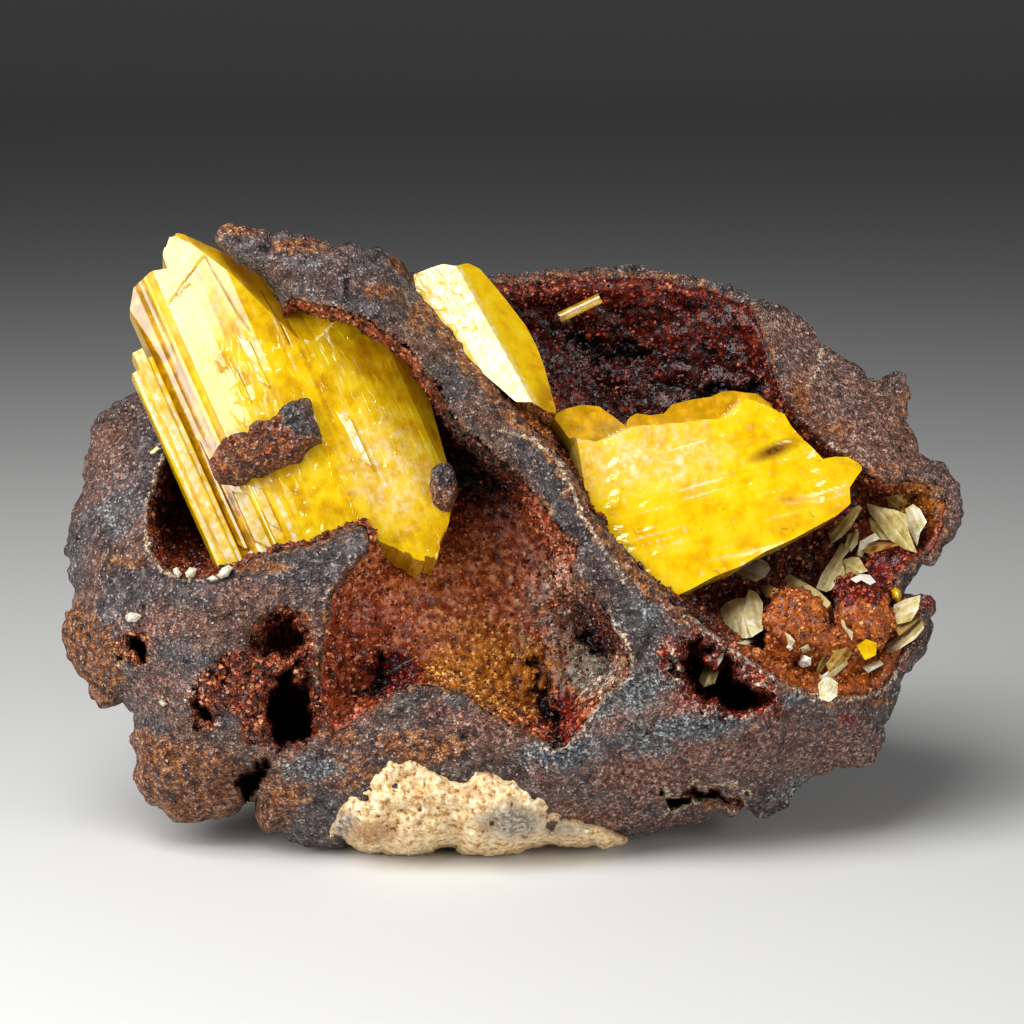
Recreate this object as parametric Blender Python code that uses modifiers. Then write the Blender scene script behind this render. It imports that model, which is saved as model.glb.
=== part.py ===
"""A legrandite specimen: yellow crystals in the hollows of a goethite gossan on pale host rock.

The rock is a relief seen from the front. A relief is a pair of sheets inside one outline. Each
sheet's depth is measured toward the eye from the picture plane, an upright plane through the
specimen's middle. Outlines are drawn as the eye sees them, in pixels of a 1024 pixel picture.
"""

import math

import bmesh
import bpy
import numpy as np
from mathutils import Vector

# Driving dimensions, in metres.
MM = 0.001
PIXEL = 0.1 * MM                  # what one pixel of the picture spans in the picture plane
PICTURE_MIDDLE = (512.0, 512.0)   # pixel on the eye's axis
EYE_DISTANCE = 284 * MM           # from the eye to the picture plane
EYE_ELEVATION = math.radians(10)  # how far the eye looks down
EYE_AXIS = Vector((-0.00034, -0.00465, 0.0326))  # where the eye's axis meets the picture plane
GAP = 0.35 * MM                   # left between pieces that touch
ROCK_GRAIN = 0.85 * MM            # size of the rock's facets
CRUST_STEP = 1.7 * MM             # size of a crust's facets
CRUST_THICK = 0.6 * MM
CRUST_INSET = 1.1 * MM            # how far a crust's sheet stands off its hollow's wall
CRUST_LIFT = 1.5 * MM             # and off its hollow's floor

# Outlines, in pixels across and down.
ROCK_OUTLINE = [
    (64, 613), (77, 591), (66, 576), (67, 550), (69, 525), (82, 494), (87, 467), (89, 433),
    (98, 415), (118, 400), (138, 387), (170, 392), (205, 380), (240, 352), (272, 318),
    (282, 296), (254, 268), (217, 250), (214, 236), (220, 221), (240, 226), (266, 229),
    (298, 234), (318, 242), (338, 241), (361, 247), (384, 251), (400, 261), (413, 272),
    (440, 285), (470, 280), (485, 275), (520, 272), (560, 270), (596, 268), (635, 266),
    (675, 273), (722, 283), (768, 303), (808, 320), (823, 345), (838, 353), (877, 382),
    (886, 376), (899, 373), (909, 381), (911, 403), (906, 424), (917, 443), (925, 458),
    (944, 464), (957, 479), (966, 497), (964, 520), (952, 544), (928, 564), (917, 578),
    (904, 588), (905, 594), (924, 591), (938, 604), (932, 621), (930, 640), (913, 670),
    (903, 678), (896, 701), (887, 721), (883, 740), (875, 760), (862, 768), (842, 765),
    (835, 770), (815, 776), (797, 789), (791, 803), (779, 809), (762, 820), (744, 805),
    (740, 815), (720, 812), (697, 824), (667, 831), (640, 834), (600, 838), (540, 842),
    (470, 846), (400, 846), (345, 845), (320, 845), (294, 845), (285, 830), (272, 836),
    (254, 828), (254, 815), (252, 800), (241, 808), (223, 821), (200, 822), (178, 827),
    (165, 814), (143, 796), (133, 775), (137, 760), (130, 741), (138, 721), (123, 705),
    (110, 706), (100, 711), (93, 705), (88, 678), (74, 672), (68, 655), (60, 638)]
HOST_OUTLINE = [
    (312, 813), (325, 790), (344, 768), (370, 744), (397, 738), (430, 750), (460, 773),
    (474, 761), (508, 766), (542, 781), (591, 814), (632, 839), (625, 846), (598, 848),
    (557, 844), (530, 850), (511, 857), (491, 861), (467, 855), (450, 847), (438, 850),
    (402, 858), (363, 852), (345, 843), (325, 838)]
FRONT_VUG = [
    (159, 473), (172, 440), (195, 395), (240, 355), (275, 322), (290, 297), (316, 305),
    (345, 310), (376, 325), (395, 340), (411, 352), (430, 375), (445, 400), (453, 420),
    (477, 440), (495, 456), (518, 472), (534, 488), (546, 509), (559, 529), (573, 538),
    (580, 556), (566, 570), (589, 590), (607, 613), (618, 632), (632, 654), (628, 680),
    (600, 700), (580, 735), (560, 750), (535, 740), (500, 718), (460, 695), (430, 683),
    (410, 688), (385, 702), (360, 720), (330, 745), (318, 700), (322, 640), (330, 600),
    (345, 570), (372, 550), (366, 520), (345, 533), (310, 548), (270, 555), (235, 572),
    (205, 580), (175, 577), (152, 560), (148, 535), (148, 500)]
FRONT_CRUST = [
    (455, 448), (477, 440), (495, 456), (518, 472), (534, 488), (546, 509), (559, 529),
    (573, 538), (580, 556), (566, 570), (589, 590), (607, 613), (618, 632), (632, 654),
    (628, 680), (600, 700), (580, 735), (560, 750), (535, 740), (500, 718), (460, 695),
    (430, 683), (410, 688), (385, 702), (360, 720), (330, 745), (318, 700), (322, 640),
    (330, 600), (345, 570), (372, 550), (395, 548), (430, 560), (452, 520)]
BACK_VUG = [
    (425, 292), (450, 290), (485, 282), (520, 279), (560, 277), (600, 275), (640, 273),
    (675, 280), (722, 291), (757, 308), (762, 330), (767, 350), (778, 379), (790, 410),
    (821, 442), (850, 457), (880, 480), (905, 482), (930, 485), (946, 500), (948, 525),
    (935, 550), (905, 568), (893, 590), (912, 603), (922, 612), (915, 640), (897, 662),
    (890, 690), (845, 698), (800, 692), (765, 672), (735, 652), (700, 625), (665, 598),
    (645, 570), (612, 540), (595, 515), (580, 490), (566, 465), (548, 440), (525, 420),
    (505, 400), (482, 370), (458, 335), (435, 310)]
DARK_POCKET = [
    (262, 672), (285, 664), (312, 672), (322, 700), (312, 735), (285, 750), (262, 735), (268, 700)]
DRUSE_POCKET = [
    (255, 625), (280, 608), (305, 620), (318, 645), (300, 660), (268, 662), (250, 648)]
SIDE_POCKET = [(187, 700), (200, 688), (214, 698), (213, 722), (201, 731), (189, 718)]
LEFT_POCKET = [(120, 640), (133, 630), (150, 640), (150, 656), (138, 666), (122, 658)]
RED_POCKET = [
    (672, 652), (690, 640), (715, 650), (745, 668), (765, 690), (765, 712), (742, 718),
    (712, 706), (690, 690), (672, 672)]
SLIT = [(660, 801), (690, 788), (725, 786), (745, 796), (738, 806), (705, 800), (675, 808)]
LUMP_CREASE = [(236, 778), (252, 766), (270, 762), (268, 776), (256, 796), (246, 806)]

# Depths of the broken skin and of the hollows' floors: pixel across, pixel down, millimetres.
SKIN_DEPTHS = [
    (100, 430, 0), (120, 480, 4), (85, 540, 4), (145, 440, 2), (125, 560, 9), (160, 600, 13),
    (95, 620, 8), (180, 640, 15), (250, 600, 15), (320, 575, 14), (360, 535, 12),
    (200, 700, 13), (300, 720, 14), (110, 680, 6), (180, 780, 7), (150, 745, 8),
    (230, 780, 8), (280, 800, 9), (250, 245, 7), (320, 275, 9), (380, 300, 10),
    (420, 340, 10), (460, 395, 11), (500, 440, 12), (540, 480, 12), (575, 520, 12),
    (610, 570, 12), (640, 610, 13), (660, 650, 14), (700, 660, 13), (380, 720, 14),
    (430, 700, 14), (500, 735, 14), (560, 765, 14), (620, 720, 14), (600, 790, 12),
    (640, 800, 10), (700, 750, 13), (760, 740, 12), (820, 735, 9), (850, 705, 9),
    (740, 690, 13), (880, 700, 6), (700, 800, 8), (780, 790, 6), (800, 705, 11),
    (925, 585, 5), (940, 520, 2), (945, 480, 0), (910, 430, -3), (870, 400, -4),
    (820, 340, -8), (785, 345, -6), (800, 400, -2), (840, 450, 1), (900, 465, 1),
    (930, 610, 5), (905, 680, 5), (520, 285, -8), (600, 275, -9), (680, 285, -9),
    (750, 310, -8), (350, 800, 11), (450, 820, 10), (300, 640, 14)]
FRONT_FLOOR = [
    (480, 440, -9), (460, 490, -7), (520, 520, -4), (450, 570, -1), (400, 585, 2),
    (355, 610, 6), (345, 700, 7), (380, 680, 2), (440, 650, 1), (500, 620, -3),
    (560, 640, -3), (600, 640, -2), (540, 700, 0), (580, 700, 0), (560, 735, 1),
    (600, 600, -1), (430, 420, -9), (190, 520, -6), (170, 490, -4), (220, 420, -6),
    (300, 370, -6), (380, 400, -7), (350, 480, -5), (250, 500, -5), (200, 560, 0),
    (430, 690, 3), (500, 700, 2)]
BACK_FLOOR = [
    (450, 310, -7), (520, 320, -12), (600, 340, -14), (700, 350, -13), (755, 385, -11),
    (640, 400, -14), (560, 440, -10), (700, 450, -12), (620, 520, -6), (700, 560, -6),
    (760, 550, -6), (800, 500, -7), (860, 530, -5), (930, 520, -3), (900, 570, -1),
    (850, 640, 1), (780, 640, 1), (720, 620, 0), (690, 610, 3), (640, 565, 0),
    (870, 680, 4), (800, 685, 6), (520, 300, -10), (600, 290, -11), (690, 300, -11)]
RIM_DEPTHS = [
    (600, 266, -10), (485, 275, -8), (740, 290, -10), (820, 335, -9), (878, 382, -6),
    (966, 500, -1), (920, 590, 3), (900, 690, 3), (850, 768, 3), (760, 820, 3),
    (640, 835, 4), (500, 860, 5), (350, 850, 4), (260, 830, 3), (180, 827, 2), (130, 741, 3),
    (62, 638, 2), (67, 550, 0), (90, 430, -3), (138, 387, -4), (220, 370, -5),
    (275, 300, 0), (230, 255, 4), (220, 225, 4), (300, 235, 4), (384, 251, 3), (440, 285, -4)]
BACK_DEPTHS = [
    (512, 560, -26), (700, 380, -23), (560, 360, -23), (820, 420, -18), (870, 560, -16),
    (800, 660, -18), (650, 700, -23), (400, 720, -21), (250, 700, -17), (150, 620, -14),
    (130, 480, -13), (300, 450, -17), (400, 400, -18), (400, 300, -12), (500, 800, -18)]

# Hollows of the rock: outline, floor depths or one depth, and the run of the wall in pixels.
HOLLOWS = [
    (FRONT_VUG, FRONT_FLOOR, 26), (BACK_VUG, BACK_FLOOR, 24), (DARK_POCKET, 3.0, 14),
    (DRUSE_POCKET, 9.0, 16), (SIDE_POCKET, 7.0, 12), (LEFT_POCKET, 4.0, 12),
    (RED_POCKET, 2.0, 20), (SLIT, 2.0, 10), (LUMP_CREASE, 0.0, 12)]
CRUST_EDGE = 15.0       # pixels between a hollow's outline and its crust's border
FRONT_ROUNDING = 55.0   # run, in pixels, over which the front turns into the rim
BACK_ROUNDING = 170.0   # the same at the back
SKIN_WAVES = [(0.9, 55.0, 3), (0.5, 24.0, 4)]   # height in millimetres, spacing in pixels, seed
BACK_WAVES = [(1.4, 90.0, 5), (0.8, 38.0, 6)]
NODULES = [(797, 622, 33, 9.5), (863, 618, 31, 9.0), (828, 660, 24, 6.5)]  # pixels, radius, top
LINING_LUMP = 26.0      # pixels between the lumps of a lining
LINING_RELIEF = 0.5     # their height in millimetres
LINING_DROP = 0.6       # millimetres from the rock's skin back to a lining's edge
FRONT_SEED = 11         # seed of the front lining's lumps
BACK_SEED = 12          # and of the back lining's
LUMP_SHIFT = 0.35       # how far a lump strays from its cell's middle, in cells
LUMP_REACH = 0.75       # and its radius, in cells
NODULE_EDGE = 0.97      # share of a nodule's radius at which it meets the lining

# The host rock under the gossan.
HOST_DEPTHS = [(350, 800, 11), (400, 765, 13), (450, 800, 13), (520, 800, 13), (590, 830, 9),
               (480, 845, 9), (330, 815, 9), (400, 840, 10)]
HOST_RIM = 4.0
HOST_BACK = -20.0
HOST_WAVES = [(0.8, 30.0, 8)]
HOST_FRONT_ROUNDING = 30.0
HOST_BACK_ROUNDING = 60.0
ROCK_STEP = 6.0         # pixels between the points of a relief
PLATE_UNIT = 100.0      # pixels to the unit in which a thin plate is worked out
PLATE_EASE = 0.02       # how far the plate may miss its knots, 0 for not at all
HASH_STEPS = np.array([73856093, 19349663, 83492791])  # primes that mix a lattice corner
ROCK_TRIANGLES = 3800
HOST_TRIANGLES = 500
SOCKET_GAP = 1.3 * GAP  # between the host rock and the gossan's socket for it
HULL_REACH = 1.5        # a socket's corners stand out by this many gaps, which clears its faces

# The large crystal, drawn along its length: b across it and a along it, in pixels.
CRYSTAL_LEAN = math.atan2(213, 95)   # of its length, down from level
LARGE_FACE = [(170, 250, 3), (232, 560, 11), (440, 480, 6)]
LARGE_COLUMNS = [  # corners (b, a, front offset in millimetres) and the back's offset
    ([(-28, 387, -2.6), (-20, 386, -1.8), (-18, 611, -1.8), (-28, 604, -2.6)], -4.6),
    ([(-22, 370, -1.5), (-9, 370, -0.6), (-9, 630, -0.6), (-22, 614, -1.5)], -4.6),
    ([(-11, 381, -2.2), (2, 384, -1.6), (2, 640, -1.6), (-11, 628, -2.2)], -5.0),
    ([(-3, 326, -3.2), (8, 310, -2.4), (27, 308, -1.0), (44, 313, -0.1), (44, 655, -0.1),
      (-3, 645, -3.2)], -6.4),
    ([(43, 300, -0.1), (58, 286, 0.1), (68, 285, 0.2), (97, 310, 0.4), (97, 655, 0.4),
      (43, 655, -0.1)], -6.8),
    ([(96, 318, 0.2), (123, 330, 0.1), (150, 356, 0.0), (150, 640, 0.0), (120, 628, 0.1),
      (96, 650, 0.2)], -6.6),
    ([(124, 334, 0.0), (155, 362, 0.2), (183, 400, 0.1), (171, 687, 0.1), (155, 681, 0.2),
      (125, 646, 0.0)], -6.2),
    ([(170, 385, 0.1), (200, 422, -0.4), (219, 455, -0.9), (216, 638, -0.9), (193, 664, -0.4),
      (171, 687, 0.1)], -5.6),
    ([(216, 450, -1.0), (238, 490, -2.8), (241, 503, -3.0), (230, 566, -2.4),
      (216, 638, -1.0)], -5.2)]
CENTRE_POINTS = [  # pixel across, pixel down, depth in millimetres
    (413, 276, 2), (420, 300, 3), (445, 330, 5.5), (480, 370, 7.5), (516, 401, 9),
    (443, 265, 2), (468, 264, 3), (485, 275, 0.5), (462, 276, 5.5), (500, 340, 8.5),
    (530, 398, 10.2), (556, 412, 8.5), (543, 365, 4.5), (526, 326, 2.5), (493, 295, 0)]
CENTRE_THICK = 6.0
PLATE_FACE = [(590, 430, 7), (672, 598, 9.5), (850, 480, 3)]
PLATE_LAYERS = [
    ([(556, 411, -0.3), (586, 401, 0), (603, 402, 0), (640, 428, 0), (650, 500, 0),
      (655, 585, 0), (620, 545, 0), (590, 505, 0), (580, 465, -0.2)], -3.6),
    ([(610, 434, 0.5), (635, 425, 0.5), (672, 422, 0.5), (725, 416, 0.5), (764, 472, 0.5),
      (766, 552, 0.3), (712, 578, 0.3), (672, 598, 0.2), (655, 585, 0.3), (612, 520, 0.5)], -4.2),
    ([(700, 418, 0.1), (725, 415, 0.1), (748, 396, 0.1), (808, 446, 0.1), (822, 470, 0.1),
      (814, 528, 0.1), (740, 560, 0.1), (690, 500, 0.1)], -4.0),
    ([(780, 440, -0.4), (808, 446, -0.4), (848, 457, -0.6), (862, 469, -0.8),
      (849, 505, -0.6), (812, 528, -0.4), (775, 530, -0.4)], -3.6),
    ([(632, 424, -1.6), (640, 410, -1.6), (668, 409, -1.6), (676, 400, -1.8), (715, 392, -1.8),
      (738, 386, -1.8), (761, 389, -1.8), (775, 400, -1.8), (800, 440, -1.6),
      (700, 470, -1.4)], -5.6)]
ROD_ENDS = [(561, 317, -7.4), (599, 299, -7.0)]
ROD_WIDTH = 10.0   # pixels
BUD_THICK = 3.0    # millimetres
BUD_POINTS = [(150, 452, 4.5), (157, 446, 4.5), (166, 457, 5), (167, 472, 5), (158, 472, 5)]
GRAIN_THICK = 6.0
GRAIN_POINTS = [(857, 646, 9.5), (866, 639, 9), (877, 643, 9), (876, 655, 9.6), (865, 660, 10)]
CHIP_OUTLINE = [
    (210, 462), (218, 444), (232, 438), (250, 426), (272, 416), (292, 398), (309, 396),
    (321, 443), (312, 452), (290, 467), (255, 478), (229, 487), (215, 480)]
EDGE_CHIP_OUTLINE = [(428, 480), (440, 463), (455, 468), (459, 492), (447, 512), (430, 500)]

CHIP_HEIGHTS = (0.8, 2.8)         # millimetres off the crystal's face: the foot and the top
EDGE_CHIP_HEIGHTS = (0.5, 2.2)
CHIP_WAIST = 0.6                  # share of the height that keeps the foot's outline
CHIP_CROWN = 0.72                 # size of the top against the foot

# Thin pale blades: pixel across, pixel down, depth in millimetres of each corner.
BLADE_THICK = 0.7
BLADE_LIFT = 1.2   # toward the eye, so that each blade clears the lining's lumps
BLADES = {
    "upper": [(866, 505, -3), (893, 510, 1), (905, 507, 2), (918, 507, 2.5), (927, 527, 4),
              (917, 552, 4), (901, 545, 3), (877, 523, -1.5)],
    "left": [(830, 544, -3.5), (846, 515, -1), (862, 506, 0), (856, 527, 0), (840, 543, -2.5)],
    "tan": [(861, 548, -1.5), (878, 540, -2), (893, 546, 1), (888, 557, 2), (868, 556, 0)],
    "middle": [(833, 574, -2), (845, 549, 0), (857, 552, 1), (856, 569, 0)],
    "lower": [(815, 588, 0), (820, 566, -3), (829, 563, -3), (842, 578, 0), (831, 590, 2)],
    "wedge": [(785, 573, -3), (800, 580, 1), (829, 604, 8), (811, 600, 8), (790, 591, 3)],
    "disc": [(735, 568, -4), (746, 558, -4.5), (765, 561, -2), (770, 574, 0), (756, 582, 1),
             (741, 578, -1)],
    "cup": [(715, 620, 2), (725, 601, -1), (743, 590, -1), (754, 594, 1), (755, 610, 4),
            (748, 639, 6), (735, 637, 6)],
    "right": [(896, 603, 4.5), (914, 597, 6), (921, 602, 7), (912, 614, 7.5), (898, 613, 6.5)],
    "fan": [(886, 650, 2.5), (895, 629, 3), (909, 617, 4), (923, 617, 5.5), (920, 635, 7),
            (902, 651, 6)],
    "front": [(826, 668, 9.5), (836, 650, 8.5), (850, 646, 7), (857, 656, 7), (847, 670, 10),
              (832, 673, 10.5)],
    "foot": [(820, 698, 12), (824, 683, 10.6), (836, 679, 10.2), (841, 685, 11), (835, 700, 12.4)],
    "pocket": [(698, 680, 7.5), (704, 662, 6.5), (715, 662, 7), (717, 675, 8.5), (706, 686, 9.5)]}
BLADE_REGION = [(665, 470), (960, 470), (960, 725), (665, 725)]
WALL_REGION = [(530, 282), (640, 282), (640, 350), (530, 350)]
BUD_REGION = [(130, 420), (200, 420), (200, 500), (130, 500)]
FAR_BACK = -30.0            # millimetres, behind everything
CLEAR_FRONT = 0.6 * MM      # cleared in front of the rock and its linings
CLEAR_SIDE = 5.0            # pixels cleared beside their steep walls

# Finishes: linear colour, roughness and transmission.
FINISHES = {
    "goethite": ((0.075, 0.05, 0.045), 0.55, 0.0),
    "pale limestone": ((0.62, 0.48, 0.3), 0.8, 0.0),
    "goethite druse": ((0.16, 0.045, 0.02), 0.45, 0.0),
    "goethite chip": ((0.2, 0.07, 0.03), 0.6, 0.0),
    "legrandite": ((0.9, 0.62, 0.02), 0.15, 0.6),
    "cream blade": ((0.7, 0.64, 0.42), 0.35, 0.0)}


def eye_directions():
    """The eye's right, up and toward-the-eye directions."""
    sine, cosine = math.sin(EYE_ELEVATION), math.cos(EYE_ELEVATION)
    return Vector((1, 0, 0)), Vector((0, sine, cosine)), Vector((0, -cosine, sine))


def place(across, down, toward):
    """World points seen at pixels, at depths in metres toward the eye. A nearer one is drawn in."""
    shrink = PIXEL * (1 - toward / EYE_DISTANCE)
    right, up, near = (np.array(direction) for direction in eye_directions())
    offsets = [(across - PICTURE_MIDDLE[0]) * shrink, (PICTURE_MIDDLE[1] - down) * shrink, toward]
    return np.array(EYE_AXIS) + sum(
        np.multiply.outer(offset, direction) for offset, direction in zip(offsets, (right, up, near)))


def rounded(outline, rounds=2):
    """Outline with its corners cut off a quarter of the way along each side, a few times."""
    points = np.array(outline, float)
    for _ in range(rounds):
        ahead = np.roll(points, -1, axis=0)
        points = np.stack([0.75 * points + 0.25 * ahead, 0.25 * points + 0.75 * ahead], axis=1)
        points = points.reshape(-1, 2)
    return points


def inside_distance(outline, across, down):
    """Distance in pixels from each point to a closed outline, positive inside it."""
    nearest = np.full(across.shape, np.inf)
    inside = np.zeros(across.shape, bool)
    for (ax, ay), (bx, by) in zip(outline, np.roll(outline, -1, axis=0)):
        ex, ey = bx - ax, by - ay
        px, py = across - ax, down - ay
        along = np.clip((px * ex + py * ey) / (ex * ex + ey * ey), 0, 1)
        nearest = np.minimum(nearest, np.hypot(px - along * ex, py - along * ey))
        if ay != by:
            inside ^= ((ay > down) != (by > down)) & (px < ex * py / ey)
    return np.where(inside, nearest, -nearest)


def bend(squared):
    """Thin plate kernel of a squared distance."""
    return 0.5 * squared * np.log(squared + 1e-9)


def thin_plate(knots, across, down):
    """Height at each point of the sheet that bends least through the knots."""
    knots = np.array(knots, float)
    sites = knots[:, :2] / PLATE_UNIT
    count = len(sites)
    spans = ((sites[:, None] - sites[None]) ** 2).sum(axis=2)
    flat = np.column_stack([np.ones(count), sites])
    system = np.zeros((count + 3, count + 3))
    system[:count, :count] = bend(spans) + PLATE_EASE * np.eye(count)
    system[:count, count:] = flat
    system[count:, :count] = flat.T
    weights = np.linalg.solve(system, np.append(knots[:, 2], np.zeros(3)))
    points = np.stack([across, down], axis=-1) / PLATE_UNIT
    squared = ((points[..., None, :] - sites) ** 2).sum(axis=-1)
    return bend(squared) @ weights[:count] + weights[count] + points @ weights[count + 1:]


def smooth_step(value):
    """Ease from 0 to 1 while the value goes from 0 to 1."""
    value = np.clip(value, 0, 1)
    return value * value * (3 - 2 * value)


def lattice_noise(points, size, seed):
    """Smooth values from -1 to 1: one value at each lattice corner, eased between corners."""
    count = points.shape[-1]
    base = np.floor(points / size).astype(np.int64)
    blend = smooth_step(points / size - base)
    total = np.zeros(points.shape[:-1])
    for corner in np.ndindex(*(2,) * count):
        keys = (base + corner) * HASH_STEPS[:count]
        mixed = (np.bitwise_xor.reduce(keys, axis=-1) + seed * 668265263) & 0x7FFFFFFF
        mixed = ((mixed ^ (mixed >> 13)) * 1274126177) & 0x7FFFFFFF
        share = np.prod(np.where(corner, blend, 1 - blend), axis=-1)
        total += share * (((mixed ^ (mixed >> 16)) & 0xFFFF) / 0x7FFF - 1)
    return total


def lumps(across, down, spacing, seed):
    """Close-set round lumps, from 0 between them to 1 on top of each."""
    points = np.stack([across, down], axis=-1) / spacing
    base = np.floor(points)
    nearest = np.full(across.shape, np.inf)
    for step in np.ndindex(3, 3):
        cell = base + np.array(step) - 1
        shift = [lattice_noise(cell + 0.01, 1.0, seed + axis) for axis in (0, 7)]
        centre = cell + 0.5 + LUMP_SHIFT * np.stack(shift, axis=-1)
        nearest = np.minimum(nearest, np.hypot(*np.moveaxis(points - centre, -1, 0)))
    return np.sqrt(np.clip(1 - (nearest / LUMP_REACH) ** 2, 0, 1))


def edge_rise(distance, run):
    """Quarter circle from 0 at the outline to 1 at a run inside it."""
    return np.sqrt(1 - (1 - np.clip(distance / run, 0, 1)) ** 2)


def floor_depth(floor, across, down):
    """Depth of a hollow's floor, in millimetres."""
    if isinstance(floor, list):
        return thin_plate(floor, across, down)
    return np.full(across.shape, float(floor))


def swell(across, down, waves):
    """Broad lumps in millimetres: height, spacing in pixels and seed of each set of waves."""
    sites = np.stack([across, down], axis=-1)
    return sum(height * lattice_noise(sites, spacing, seed) for height, spacing, seed in waves)


def skin_depth(across, down):
    """Depth in millimetres of the rock's broken skin, as if it had no hollows."""
    return thin_plate(SKIN_DEPTHS, across, down) + swell(across, down, SKIN_WAVES)


def front_depth(across, down):
    """Depth in metres of the rock's front: the skin with its hollows, turned into the rim."""
    depth = skin_depth(across, down)
    for outline, floor, run in HOLLOWS:
        wall = smooth_step(inside_distance(rounded(outline), across, down) / run)
        target = np.minimum(floor_depth(floor, across, down), depth)
        depth = depth + (target - depth) * wall
    rim = thin_plate(RIM_DEPTHS, across, down)
    rise = edge_rise(inside_distance(rounded(ROCK_OUTLINE, 1), across, down), FRONT_ROUNDING)
    return MM * (rim + (depth - rim) * rise)


def back_depth(across, down):
    """Depth in metres of the rock's hidden back."""
    rim = thin_plate(RIM_DEPTHS, across, down)
    rise = edge_rise(inside_distance(rounded(ROCK_OUTLINE, 1), across, down), BACK_ROUNDING)
    depth = thin_plate(BACK_DEPTHS, across, down) + swell(across, down, BACK_WAVES)
    return np.minimum(MM * (rim + (depth - rim) * rise), front_depth(across, down))


def host_front(across, down):
    """Depth in metres of the host rock's front."""
    rise = edge_rise(inside_distance(rounded(HOST_OUTLINE, 1), across, down), HOST_FRONT_ROUNDING)
    depth = thin_plate(HOST_DEPTHS, across, down) + swell(across, down, HOST_WAVES)
    return MM * (HOST_RIM + (depth - HOST_RIM) * rise)


def host_back(across, down):
    """Depth in metres of the host rock's back."""
    rise = edge_rise(inside_distance(rounded(HOST_OUTLINE, 1), across, down), HOST_BACK_ROUNDING)
    return MM * (HOST_RIM + (HOST_BACK - HOST_RIM) * rise)


def nearest_on(outline, point):
    """Point of a closed outline nearest to a point."""
    starts = outline
    sides = np.roll(outline, -1, axis=0) - outline
    along = np.clip(((point - starts) * sides).sum(axis=1) / (sides ** 2).sum(axis=1), 0, 1)
    feet = starts + along[:, None] * sides
    return feet[np.argmin(np.hypot(*(feet - point).T))]


def grid_sheet(outline, step):
    """Flat open sheet of square cells in the picture plane, its border drawn onto an outline."""
    outline = rounded(outline, 1)
    low = outline.min(axis=0) - step
    cells = np.ceil((outline.max(axis=0) + step - low) / step).astype(int)
    sheet = bmesh.new()
    bmesh.ops.create_grid(sheet, x_segments=int(cells[0]), y_segments=int(cells[1]), size=0.5)
    sites = np.array([vert.co[:2] for vert in sheet.verts]) + 0.5
    across = low[0] + sites[:, 0] * cells[0] * step
    down = low[1] + (1 - sites[:, 1]) * cells[1] * step
    for vert, point in zip(sheet.verts, place(across, down, np.zeros(len(across)))):
        vert.co = point
    inside = inside_distance(outline, across, down) > 0
    outside = [vert for vert, kept in zip(list(sheet.verts), inside) if not kept]
    bmesh.ops.delete(sheet, geom=outside, context="VERTS")
    loose = [vert for vert in sheet.verts if not vert.link_faces]
    bmesh.ops.delete(sheet, geom=loose, context="VERTS")
    border = [vert for vert in sheet.verts if vert.is_boundary]
    feet = np.array([nearest_on(outline, np.array(site)) for site in zip(*pixels_of(border))])
    for vert, point in zip(border, place(feet[:, 0], feet[:, 1], np.zeros(len(feet)))):
        vert.co = point
    bmesh.ops.remove_doubles(sheet, verts=sheet.verts, dist=0.2 * step * PIXEL)
    return sheet


def pixels_of(verts):
    """Pixels at which vertices of the picture plane are seen."""
    offsets = np.array([vert.co[:] for vert in verts]) - np.array(EYE_AXIS)
    right, up, _ = eye_directions()
    return PICTURE_MIDDLE[0] + offsets @ right / PIXEL, PICTURE_MIDDLE[1] - offsets @ up / PIXEL


def pushed(verts, depth):
    """Move vertices of the picture plane to a depth, a function of the pixel."""
    across, down = pixels_of(verts)
    for vert, point in zip(verts, place(across, down, depth(across, down))):
        vert.co = point


def linked(shape, name, collection):
    """New object with the bmesh's shape."""
    mesh = bpy.data.meshes.new(name)
    bmesh.ops.recalc_face_normals(shape, faces=shape.faces)
    shape.to_mesh(mesh)
    shape.free()
    result = bpy.data.objects.new(name, mesh)
    collection.objects.link(result)
    return result


def relief(name, outline, step, front, back, collection):
    """Solid between a front and a back depth inside an outline."""
    sheet = grid_sheet(outline, step)
    grown = bmesh.ops.extrude_face_region(sheet, geom=list(sheet.faces))
    fore = [item for item in grown["geom"] if isinstance(item, bmesh.types.BMVert)]
    rear = [vert for vert in sheet.verts if vert not in set(fore)]
    pushed(fore, front)
    pushed(rear, back)
    return linked(sheet, name, collection)


def crust(name, outline, step, depth, collection):
    """Thin lining: an open sheet at a depth, thickened away from the eye."""
    sheet = grid_sheet(outline, step)
    pushed(list(sheet.verts), depth)
    result = linked(sheet, name, collection)
    facing = sum((face.normal * face.area for face in result.data.polygons), Vector())
    skin = result.modifiers.new("Thickness", "SOLIDIFY")
    skin.thickness = CRUST_THICK
    skin.offset = -1 if facing.dot(eye_directions()[2]) > 0 else 1
    return applied(result)


def applied(piece):
    """The piece with its modifiers made part of its mesh."""
    bpy.context.view_layer.update()
    scene_state = bpy.context.evaluated_depsgraph_get()
    mesh = bpy.data.meshes.new_from_object(piece.evaluated_get(scene_state))
    piece.modifiers.clear()
    piece.data = mesh
    return piece


def combined(piece, tools, operation):
    """The piece after a union with, or a difference from, each tool. The tools are removed."""
    for tool in tools:
        step = piece.modifiers.new(operation.title(), "BOOLEAN")
        step.operation = operation
        step.object = tool
    applied(piece)
    for tool in tools:
        bpy.data.objects.remove(tool)
    return piece


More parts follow.
